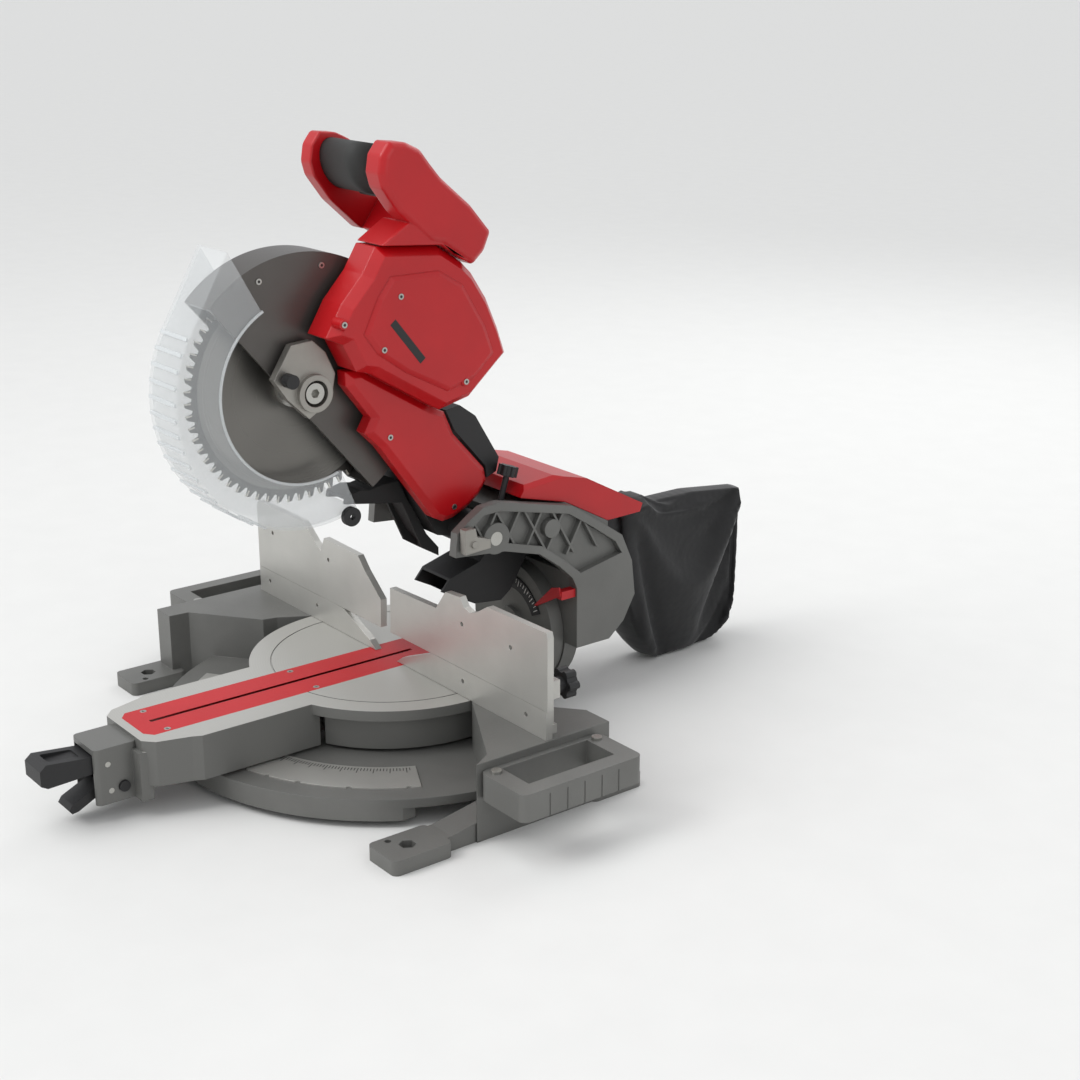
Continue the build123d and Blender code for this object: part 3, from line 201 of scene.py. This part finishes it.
def milled_top(name):
    """Paint on the sides and the nose, bare milled metal with turning rings on the faces that look up."""
    mat, tree, shader, place = start(name)
    normal = add(tree, "ShaderNodeTexCoord").outputs["Normal"]
    up = add(tree, "ShaderNodeSeparateXYZ", {"Vector": normal}).outputs["Z"]
    rear = add(tree, "ShaderNodeSeparateXYZ", {"Vector": place}).outputs["Y"]
    facing_up = add(tree, "ShaderNodeMath", {0: up, 1: 0.9}, operation="GREATER_THAN").outputs[0]
    behind_nose = add(tree, "ShaderNodeMath", {0: rear, 1: NOSE_START},
                      operation="GREATER_THAN").outputs[0]
    top = add(tree, "ShaderNodeMath", {0: facing_up, 1: behind_nose}, operation="MULTIPLY").outputs[0]
    rings = add(tree, "ShaderNodeTexWave", {"Vector": place, "Scale": per_mm(9), "Distortion": 0.6},
                wave_type="RINGS", rings_direction="Z")
    noise = add(tree, "ShaderNodeTexNoise", {"Vector": place, "Scale": per_mm(1.5), "Detail": 3.0})
    colour = add(tree, "ShaderNodeMixRGB",
                 {"Fac": top, "Color1": linear("#6a6a67"), "Color2": linear("#bdbcb7")})
    rough = add(tree, "ShaderNodeMapRange", {"Value": rings.outputs["Fac"], "To Min": 0.34, "To Max": 0.44})
    edges = add(tree, "ShaderNodeBevel", {"Radius": 0.001}, samples=4)
    bump = add(tree, "ShaderNodeBump", {"Height": noise.outputs["Fac"], "Strength": 0.2,
                                        "Distance": 0.0003, "Normal": edges.outputs["Normal"]})
    metal = add(tree, "ShaderNodeMapRange", {"Value": top, "To Min": 0.15, "To Max": 0.55})
    tree.links.new(colour.outputs["Color"], shader.inputs["Base Color"])
    tree.links.new(rough.outputs["Result"], shader.inputs["Roughness"])
    tree.links.new(metal.outputs["Result"], shader.inputs["Metallic"])
    tree.links.new(bump.outputs["Normal"], shader.inputs["Normal"])
    return mat


TABLE = milled_top("die_cast_turntable_with_milled_top")


# %% The blade's ground steel
BAND_START = 0.1115
BAND_FULL = 0.1125


def ground_steel(name, centre):
    """Steel ground in circles about the arbor, darker in a band near the teeth."""
    mat, tree, shader, place = start(name)
    local = add(tree, "ShaderNodeVectorMath", {0: place, 1: centre},
                operation="SUBTRACT").outputs["Vector"]
    flat = add(tree, "ShaderNodeVectorMath", {0: local, 1: (0, 1, 1)},
               operation="MULTIPLY").outputs["Vector"]
    radius = add(tree, "ShaderNodeVectorMath", {0: flat}, operation="LENGTH").outputs["Value"]
    line = add(tree, "ShaderNodeTexNoise", {"W": radius, "Scale": per_mm(0.8), "Detail": 4.0},
               noise_dimensions="1D")
    band = add(tree, "ShaderNodeMapRange", {"Value": radius, "From Min": BAND_START, "From Max": BAND_FULL})
    colour = add(tree, "ShaderNodeMixRGB", {"Fac": band.outputs["Result"],
                                            "Color1": linear("#74726e"), "Color2": linear("#454340")})
    rough = add(tree, "ShaderNodeMapRange", {"Value": line.outputs["Fac"], "To Min": 0.2, "To Max": 0.46})
    around = add(tree, "ShaderNodeVectorMath", {0: flat, 1: (1, 0, 0)},
                 operation="CROSS_PRODUCT").outputs["Vector"]
    tangent = add(tree, "ShaderNodeVectorTransform", {"Vector": around},
                  vector_type="VECTOR", convert_from="OBJECT", convert_to="WORLD")
    tree.links.new(tangent.outputs["Vector"], shader.inputs["Tangent"])
    tree.links.new(colour.outputs["Color"], shader.inputs["Base Color"])
    tree.links.new(rough.outputs["Result"], shader.inputs["Roughness"])
    shader.inputs["Metallic"].default_value = 0.95
    shader.inputs["Anisotropic"].default_value = 0.85
    return mat


arbor_lo, arbor_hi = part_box("arbor_bolt")
ARBOR = Vector((0, (arbor_lo.y + arbor_hi.y) / 2, (arbor_lo.z + arbor_hi.z) / 2))
BLADE = ground_steel("radially_ground_steel", tuple(ARBOR))


# %% Clear polycarbonate
def polycarbonate(name, opacity):
    """Clear moulded guard: mostly see-through, with a glossy face and a faint grey body."""
    mat, tree, shader, place = start(name)
    noise = add(tree, "ShaderNodeTexNoise", {"Vector": place, "Scale": per_mm(25), "Detail": 2.0})
    rough = add(tree, "ShaderNodeMapRange", {"Value": noise.outputs["Fac"], "To Min": 0.04, "To Max": 0.12})
    tree.links.new(rough.outputs["Result"], shader.inputs["Roughness"])
    shader.inputs["Base Color"].default_value = linear("#dfe3e4")
    shader.inputs["Alpha"].default_value = opacity
    shader.inputs["IOR"].default_value = 1.58
    return mat


CLEAR = polycarbonate("clear_polycarbonate", 0.22)
THICK_CLEAR = polycarbonate("clear_polycarbonate_rib", 0.6)


# %% Woven nylon and the crosshatched grip
def woven(name, colour, pitch, wrinkle, depth, sheen):
    """Two crossed wave patterns for the weave or the crosshatch, over slow noise for the wrinkles."""
    mat, tree, shader, place = start(name)
    threads = {"Vector": place, "Scale": per_mm(pitch * 20) / 2}
    warp = add(tree, "ShaderNodeTexWave", threads, bands_direction="Y")
    weft = add(tree, "ShaderNodeTexWave", threads, bands_direction="Z")
    weave = add(tree, "ShaderNodeMath", {0: warp.outputs["Fac"], 1: weft.outputs["Fac"]},
                operation="MULTIPLY")
    slow = add(tree, "ShaderNodeTexNoise", {"Vector": place, "Scale": per_mm(wrinkle), "Detail": 4.0,
                                            "Distortion": 0.8})
    first = add(tree, "ShaderNodeBump",
                {"Height": slow.outputs["Fac"], "Strength": depth, "Distance": 0.004})
    second = add(tree, "ShaderNodeBump", {"Height": weave.outputs[0], "Strength": 0.35, "Distance": 0.0004,
                                          "Normal": first.outputs["Normal"]})
    shade = add(tree, "ShaderNodeMapRange", {"Value": slow.outputs["Fac"], "To Min": 0.6, "To Max": 0.85})
    tree.links.new(shade.outputs["Result"], shader.inputs["Roughness"])
    tree.links.new(second.outputs["Normal"], shader.inputs["Normal"])
    shader.inputs["Base Color"].default_value = linear(colour)
    shader.inputs["Sheen Weight"].default_value = sheen
    return mat


NYLON = woven("woven_black_nylon", "#141415", 0.9, 55, 0.5, 0.15)
GRIP = woven("crosshatched_grip_rubber", "#2b2c2b", 2.6, 90, 0.05, 0.0)

# %% [markdown]
# ## 3. Materials on the CAD pieces
# Each CAD piece keeps its mesh. The table gives every piece its material by name.

# %% Material table
LOOKS = {
    PAINT: ["base_casting", "left_carry_handle", "right_carry_handle", "trunnion", "arm_casting"],
    MACHINED: ["left_lower_fence", "right_lower_fence", "left_sliding_fence", "right_sliding_fence",
               "miter_scale_plate"],
    TABLE: ["turntable"],
    RED_PLATE: ["kerf_plate", "bevel_pointer"],
    RED_HOUSING: ["motor_housing", "handle_frame", "arm_top_cover"],
    STEEL: ["handle_screws", "fence_bolts", "miter_pivot_bolt", "kerf_plate_screws", "rail_bushings",
            "lever_pins", "slide_rails", "hinge_shaft", "lift_spring", "head_screws", "arbor_shaft",
            "blade_flanges", "arbor_bolt", "motor_rotor", "motor_stator"],
    BLACK_PLASTIC: ["left_fence_knob", "right_fence_knob", "miter_lock_lever", "detent_lever",
                    "detent_button", "slide_lock_knob", "dust_pipe", "dust_chute", "bag_collar",
                    "bevel_lock_lever", "depth_stop_knob", "battery_dock", "belt_cover", "trigger",
                    "lock_off_button", "spindle_lock", "guard_roller"],
    RUBBER: ["dust_deflector", "drive_belt"],
    BLACK_CAST: ["head_casting"],
    GUNMETAL: ["upper_guard"],
    ZINC: ["guard_bracket", "head_lock_pin"],
    SCALE: ["bevel_scale"],
    CLEAR: ["lower_guard"],
    GRIP: ["handle_grip"],
    BLADE: ["blade"],
    NYLON: ["dust_bag"],
}
for material, names in LOOKS.items():
    for name in names:
        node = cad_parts[name]
        node.data.materials.clear()
        node.data.materials.append(material)
print("dressed", sum(len(names) for names in LOOKS.values()), "of", len(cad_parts))

# %% [markdown]
# ## 4. New pieces
# A new piece is a bmesh that ends at the origin with its place in its vertices. It rides on the CAD body
# that it belongs to, and takes its finish from one of the materials above.


# %% Piece helpers
def piece(name, bm, material, body, replaces=(), smooth=False):
    """Turn a bmesh into a finished piece of the object."""
    bmesh.ops.recalc_face_normals(bm, faces=bm.faces)
    mesh = bpy.data.meshes.new(name)
    bm.to_mesh(mesh)
    bm.free()
    mesh.materials.append(material)
    for polygon in mesh.polygons:
        polygon.use_smooth = smooth
    obj = bpy.data.objects.new(name, mesh)
    bpy.context.collection.objects.link(obj)
    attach(obj, body)
    for node in replaces:
        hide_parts(node)
    print(name, len(mesh.polygons), "faces")
    return obj


def block(bm, centre, size, turn=Matrix.Identity(3)):
    """Add a box of a size at a centre, turned by a matrix."""
    made = bmesh.ops.create_cube(bm, size=1)["verts"]
    bmesh.ops.scale(bm, vec=size, verts=made)
    bmesh.ops.rotate(bm, cent=(0, 0, 0), matrix=turn, verts=made)
    bmesh.ops.translate(bm, vec=centre, verts=made)


def turned(bm, verts, degrees, axis):
    """Turn some vertices about the origin."""
    bmesh.ops.rotate(bm, cent=(0, 0, 0), matrix=Matrix.Rotation(math.radians(degrees), 3, axis), verts=verts)


def grown_verts(geom):
    """The vertices among an extrusion's new geometry."""
    return [v for v in geom if isinstance(v, bmesh.types.BMVert)]


def on_side(radius, degrees, x=0.0):
    """Point at a radius and angle about the arbor: 0 is the rear, 90 is up."""
    turn = math.radians(degrees)
    return ARBOR + Vector((x, radius * math.cos(turn), radius * math.sin(turn)))


# %% Outline tools
TABLE_MM = 86


def at(x, y, z):
    """A point in metres from millimetres, with z counted from the table top."""
    return Vector((x, y, z + TABLE_MM)) / 1000


def slab(bm, outline, x_from, x_to, inset=0.0, rise=0.0):
    """Extrude an outline across the saw and raise its outer face into a facet. Sizes are in millimetres."""
    base = bm.faces.new([bm.verts.new(at(x_from, y, z)) for y, z in outline])
    grown = bmesh.ops.extrude_face_region(bm, geom=[base])["geom"]
    bmesh.ops.translate(bm, vec=((x_to - x_from - rise) / 1000, 0, 0), verts=grown_verts(grown))
    if inset:
        top = [f for f in grown if isinstance(f, bmesh.types.BMFace)]
        bmesh.ops.recalc_face_normals(bm, faces=bm.faces)
        bmesh.ops.inset_region(bm, faces=top, thickness=inset / 1000, depth=0, use_even_offset=True)
        raised = list({v for f in top for v in f.verts})
        bmesh.ops.translate(bm, vec=(rise / 1000, 0, 0), verts=raised)


def rounded(bm, radius, segments=3):
    """Round every edge of a bmesh."""
    bmesh.ops.recalc_face_normals(bm, faces=bm.faces)
    bmesh.ops.bevel(bm, geom=list(bm.edges), offset=radius / 1000, affect="EDGES", segments=segments,
                    profile=0.5, material=-1, clamp_overlap=True)


def weighted(obj):
    """Keep large faces flat-shaded next to their rounded edges."""
    obj.modifiers.new("weighted", "WEIGHTED_NORMAL").keep_sharp = True


# %% [markdown]
# ### The blade
# One tooth's sector is drawn flat, spun sixty times about the arbor, merged and given its thickness. The
# brazed tips are a little wider than the plate, as on a real blade, so that the kerf clears it.

# %% Blade plate
TEETH = 60
STEP = 360 / TEETH
PLATE_T = 0.0018
BORE_R = 0.008
GULLET_R = 0.1185
SECTOR = [(BORE_R, 0), (GULLET_R, 0), (0.1268, 0.7), (0.1255, 2.6), (0.1218, 3.4), (0.1175, 4.6),
          (GULLET_R, STEP), (BORE_R, STEP)]
bm = bmesh.new()
corners = [bm.verts.new(on_side(radius, degrees, -PLATE_T / 2)) for radius, degrees in SECTOR]
first = bm.faces.new(corners)
bmesh.ops.spin(bm, geom=[first] + list(first.edges) + corners, cent=ARBOR, axis=(1, 0, 0),
               steps=TEETH - 1, angle=math.radians(STEP * (TEETH - 1)), use_duplicate=True)
bmesh.ops.remove_doubles(bm, verts=bm.verts, dist=0.00001)
grown = bmesh.ops.extrude_face_region(bm, geom=list(bm.faces))["geom"]
bmesh.ops.translate(bm, vec=(PLATE_T, 0, 0), verts=grown_verts(grown))
piece("blade_plate", bm, BLADE, "arbor", replaces=["blade"])

# %% Brazed tips
TIP_R = 0.1232
TIP_SIZE = (0.0026, 0.0068, 0.0016)
bm = bmesh.new()
for tooth in range(TEETH):
    angle = tooth * STEP + 0.8
    block(bm, on_side(TIP_R, angle), TIP_SIZE, Matrix.Rotation(math.radians(angle), 3, "X"))
piece("blade_tips", bm, CARBIDE, "arbor")

# %% [markdown]
# ### Scales
# The miter scale on the base and the bevel scale on the drum carry plain lines: one each degree on the
# base with longer ones every five, and one every five on the drum.

# %% Miter scale lines
MITER_LINE_R = 0.194
scale_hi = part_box("miter_scale_plate")[1]
bm = bmesh.new()
for degrees in range(-52, 62):
    length = 0.011 if degrees % 5 == 0 else 0.006
    turn = math.radians(degrees - 90)
    radius = MITER_LINE_R + length / 2
    block(bm, (radius * math.cos(turn), radius * math.sin(turn), scale_hi.z + 0.0001),
          (length, 0.0007, 0.0003), Matrix.Rotation(turn, 3, "Z"))
piece("miter_scale_lines", bm, DARK_INK, "base")

# %% Bevel scale lines
BEVEL_LINE_R = 0.058
drum_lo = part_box("bevel_scale")[0]
bm = bmesh.new()
for degrees in range(30, 151, 5):
    length = 0.008 if degrees % 15 == 0 else 0.005
    turn = math.radians(degrees)
    radius = BEVEL_LINE_R - length / 2
    block(bm, (radius * math.cos(turn), drum_lo.y - 0.0001, TABLE_MM / 1000 + radius * math.sin(turn)),
          (length, 0.0003, 0.0009), Matrix.Rotation(-turn, 3, "Y"))
piece("bevel_scale_lines", bm, MARK, "carriage")

# %% [markdown]
# ### Guard ribs
# The clear guard is stiffened by ribs across its rim, which is what catches the light at the front of the
# saw.

# %% Ribs on the clear guard
RIBS = 16
RIB_START = 152
RIB_STEP = 6.4
RIM_R = 0.1506
RIB_SIZE = (0.056, 0.0024, 0.0042)
bm = bmesh.new()
for rib in range(RIBS):
    angle = RIB_START + rib * RIB_STEP
    block(bm, on_side(RIM_R, angle), RIB_SIZE, Matrix.Rotation(math.radians(angle), 3, "X"))
bmesh.ops.bevel(bm, geom=list(bm.edges), offset=0.0006, affect="EDGES", segments=2, profile=0.5,
                material=-1)
piece("guard_ribs", bm, THICK_CLEAR, "swing_guard")

# %% [markdown]
# ### The red housing and the handle
# Both follow the outlines of the CAD solids, given here as (rear, up) in millimetres from the table top.
# An outline is extruded, its outer face is inset and raised into a facet, and every edge is rounded, so
# that the moulding catches light. Two bosses carry the screws that lie outside the raised panel.

# %% Motor housing
HOUSING_INNER = 36.4
POD_FACE = 84
PANEL_FACE = 88
BLOCK_FACE = 58
POD = [(-118, 395), (-98, 428), (-72, 456), (-56, 482), (20, 476), (51, 456), (64, 443), (83, 414),
       (98, 380), (108, 351), (96, 341), (59, 309), (20, 300), (-40, 336), (-66, 352), (-83, 356),
       (-98, 386)]
LOWER = [(-84, 352), (-66, 352), (-40, 336), (20, 300), (40, 291), (52, 264), (93, 218), (96, 203),
         (85, 188), (68, 176), (50, 168), (36, 166), (24, 172), (-43, 263), (-63, 283), (-54, 298),
         (-84, 337)]
PANEL = [(-62, 432), (-46, 452), (14, 452), (44, 434), (72, 388), (84, 356), (58, 332), (24, 322),
         (-30, 350), (-64, 374), (-80, 396)]
CORNER_SCREWS = [(-105, 410), (45, 330)]
bm = bmesh.new()
slab(bm, POD, HOUSING_INNER, POD_FACE, 9, 12)
slab(bm, PANEL, POD_FACE - 0.6, PANEL_FACE, 5, 3)
slab(bm, LOWER, HOUSING_INNER, BLOCK_FACE, 7, 6)
for y, z in CORNER_SCREWS:
    made = bmesh.ops.create_cone(bm, segments=24, radius1=0.0062, radius2=0.005, depth=0.016,
                                 cap_ends=True)["verts"]
    turned(bm, made, 90, "Y")
    bmesh.ops.translate(bm, vec=at(PANEL_FACE - 8, y, z), verts=made)
rounded(bm, 1.8)
housing = piece("red_motor_housing", bm, RED_HOUSING, "head", replaces=["motor_housing"],
                smooth=True)
weighted(housing)

# %% Handle frame
BRIDGE_LEFT = -50
BRIDGE_RIGHT = 56
HANDLE = [(-42, 587), (-21, 585), (-4, 577), (8, 562), (21, 547), (58, 516), (84, 486), (75, 466),
          (60, 453), (51, 458), (36, 468), (20, 478), (6, 481), (-31, 514), (-51, 541), (-55, 556),
          (-52, 574)]
BRIDGE = [(30, 514), (58, 490), (74, 466), (60, 453), (51, 458), (36, 468), (20, 478), (6, 481)]
FOOT = [(-54, 483.5), (20, 477.5), (50, 458), (66, 456), (36, 470), (6, 496), (-20, 505)]
bm = bmesh.new()
slab(bm, HANDLE, BRIDGE_RIGHT, 86, 6, 5)
slab(bm, HANDLE, BRIDGE_LEFT, -75, 6, -5)
slab(bm, BRIDGE, BRIDGE_LEFT, BRIDGE_RIGHT)
slab(bm, FOOT, 32.5, 82.5)
rounded(bm, 2.6, 4)
handle = piece("red_handle_frame", bm, RED_HOUSING, "head", replaces=["handle_frame"],
               smooth=True)
weighted(handle)

# %% Grip sleeve
# The grip is an oval sleeve between the handle's arms. Its slant is that of the CAD grip.
GRIP_HALF = (1, 0.019, 0.029)
GRIP_SLANT = 25.9
GRIP_LENGTH = 0.1058
bm = bmesh.new()
ring = bmesh.ops.create_circle(bm, segments=48, radius=1, cap_ends=True)["verts"]
turned(bm, ring, 90, "Y")
bmesh.ops.scale(bm, vec=GRIP_HALF, verts=ring)
turned(bm, ring, GRIP_SLANT, "X")
bmesh.ops.translate(bm, vec=at(-49.9, -22, 553), verts=ring)
grown = bmesh.ops.extrude_face_region(bm, geom=list(bm.faces))["geom"]
bmesh.ops.translate(bm, vec=(GRIP_LENGTH, 0, 0), verts=grown_verts(grown))
grip = piece("grip_sleeve", bm, GRIP, "head", replaces=["handle_grip"], smooth=True)
weighted(grip)

# %% Screw sockets
# Each housing screw gets a flat dark hexagon, painted shade for its six-sided socket recess, so that the
# heads read as fasteners.
SOCKET_R = 0.0017
SOCKETS = [(88.8, -105, 410), (88.8, -36, 431), (88.8, -58, 378), (88.8, 45, 330), (58.8, -34, 275),
           (58.8, 48, 182), (27.2, -166, 452), (27.2, -92, 461)]
bm = bmesh.new()
for x, y, z in SOCKETS:
    made = bmesh.ops.create_circle(bm, segments=6, radius=SOCKET_R, cap_ends=True)["verts"]
    turned(bm, made, 90, "Y")
    bmesh.ops.translate(bm, vec=at(x + 0.08, y, z), verts=made)
piece("screw_socket_painted_shade", bm, BLACK_PLASTIC, "head")

# %% [markdown]
# ### Guard beads
# The guard's two side walls end in a thick bead along their inner edge.

# %% Beads on the guard's inner edge
BEAD_X = 0.0287
BEAD_PATH_R = 0.1005
BEAD_R = 0.0016
BEAD_START = 118
BEAD_SWEEP = 172
bm = bmesh.new()
for x in (-BEAD_X, BEAD_X):
    end = bmesh.ops.create_circle(bm, segments=10, radius=BEAD_R, cap_ends=False)["verts"]
    turned(bm, end, 90, "Y")
    turned(bm, end, 90, "Z")
    turned(bm, end, 90 + BEAD_START, "X")
    bmesh.ops.translate(bm, vec=on_side(BEAD_PATH_R, BEAD_START, x), verts=end)
    bmesh.ops.spin(bm, geom=list({e for v in end for e in v.link_edges}), cent=ARBOR, axis=(1, 0, 0),
                   steps=64, angle=math.radians(BEAD_SWEEP))
piece("guard_beads", bm, THICK_CLEAR, "swing_guard", smooth=True)

# %% [markdown]
# ### Housing detail
# A long cooling slot crosses the red pod. It is a thin dark inlay, standing 0.2 mm proud, across the
# pod's flat face: painted shade for the slot's opening, which is not cut.

# %% Cooling slot
SLOT_SIZE = (0.0012, 0.058, 0.0085)
SLOT_RUN = 37
SLOT_DROP = -46
pod_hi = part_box("motor_housing")[1]
middle = Vector((pod_hi.x - 0.0004, -0.0285, TABLE_MM / 1000 + 0.383))
bm = bmesh.new()
block(bm, middle, SLOT_SIZE, Matrix.Rotation(math.atan2(SLOT_DROP, SLOT_RUN), 3, "X"))
piece("cooling_slot_painted_shade", bm, BLACK_PLASTIC, "head")

# %% [markdown]
# ### The dust bag
# The bag is a closed sewn shell on a collar. It fills the box of the CAD bag. A short cloth simulation
# with the collar end and the top seam held lets the cloth sag between them, and the result is kept as a
# plain mesh.

# %% Sewn shell
bag_lo, bag_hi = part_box("dust_bag")
bag_mid = (bag_lo + bag_hi) / 2
bag_size = bag_hi - bag_lo
CUTS = 26
bm = bmesh.new()
bmesh.ops.create_cube(bm, size=1)
bmesh.ops.subdivide_edges(bm, edges=bm.edges, cuts=CUTS, use_grid_fill=True)
for v in bm.verts:
    along = v.co.y + 0.5
    fill = min(1.0, 0.5 + 2.6 * along) * (1 - 0.1 * max(0.0, along - 0.6) / 0.4)
    round_x = v.co.x * math.sqrt(1 - 0.35 * (2 * v.co.z) ** 2 / 2)
    round_z = v.co.z * math.sqrt(1 - 0.35 * (2 * v.co.x) ** 2 / 2)
    lift = 0.22 * max(0.0, 1 - along / 0.3)
    v.co.x = round_x * (0.75 + 0.25 * fill) * 0.92
    v.co.z = round_z * fill * 0.94 + lift
bmesh.ops.scale(bm, vec=bag_size, verts=bm.verts)
bmesh.ops.translate(bm, vec=bag_mid, verts=bm.verts)
bag = piece("dust_bag_cloth", bm, NYLON, "arm", replaces=["dust_bag"], smooth=True)

# %% Cloth simulation, kept as a mesh
CLOTH_FRAMES = 16
BOX_MARGIN = 0.004
held = bag.vertex_groups.new(name="held")
for v in bag.data.vertices:
    along = (v.co.y - bag_lo.y) / bag_size.y
    if along < 0.08 or (v.co.z > bag_hi.z - 0.03 and abs(v.co.x - bag_mid.x) < 0.012):
        held.add([v.index], 1.0, "REPLACE")
cloth = bag.modifiers.new("cloth", "CLOTH")
cloth.settings.quality = 6
cloth.settings.mass = 0.12
cloth.settings.tension_stiffness = 25
cloth.settings.compression_stiffness = 10
cloth.settings.bending_stiffness = 0.4
cloth.settings.vertex_group_mass = "held"
cloth.settings.use_pressure = True
cloth.settings.uniform_pressure_force = 2.6
cloth.point_cache.frame_start = 1
cloth.point_cache.frame_end = CLOTH_FRAMES
for number in range(1, CLOTH_FRAMES + 1):
    bpy.context.scene.frame_set(number)
graph = bpy.context.evaluated_depsgraph_get()
settled = [v.co.copy() for v in bag.evaluated_get(graph).data.vertices]
bag.modifiers.remove(cloth)
bag.vertex_groups.clear()
bpy.context.scene.frame_set(1)
for v, co in zip(bag.data.vertices, settled):
    v.co = Vector(max(lo - BOX_MARGIN, min(hi + BOX_MARGIN, c)) for lo, hi, c in zip(bag_lo, bag_hi, co))
bag.data.update()
print("bag settled")

# %% [markdown]
# ## 5. Floor

# %% Floor
FLOOR = finish("matt_paper_backdrop", "#dcdcda", 0.8, 0, 3.0, 0.02, 0.01, 0.1)
bm = bmesh.new()
bmesh.ops.create_grid(bm, x_segments=1, y_segments=1, size=60)
mesh = bpy.data.meshes.new("floor")
bm.to_mesh(mesh)
bm.free()
mesh.materials.append(FLOOR)
floor = bpy.data.objects.new("floor", mesh)
bpy.context.collection.objects.link(floor)
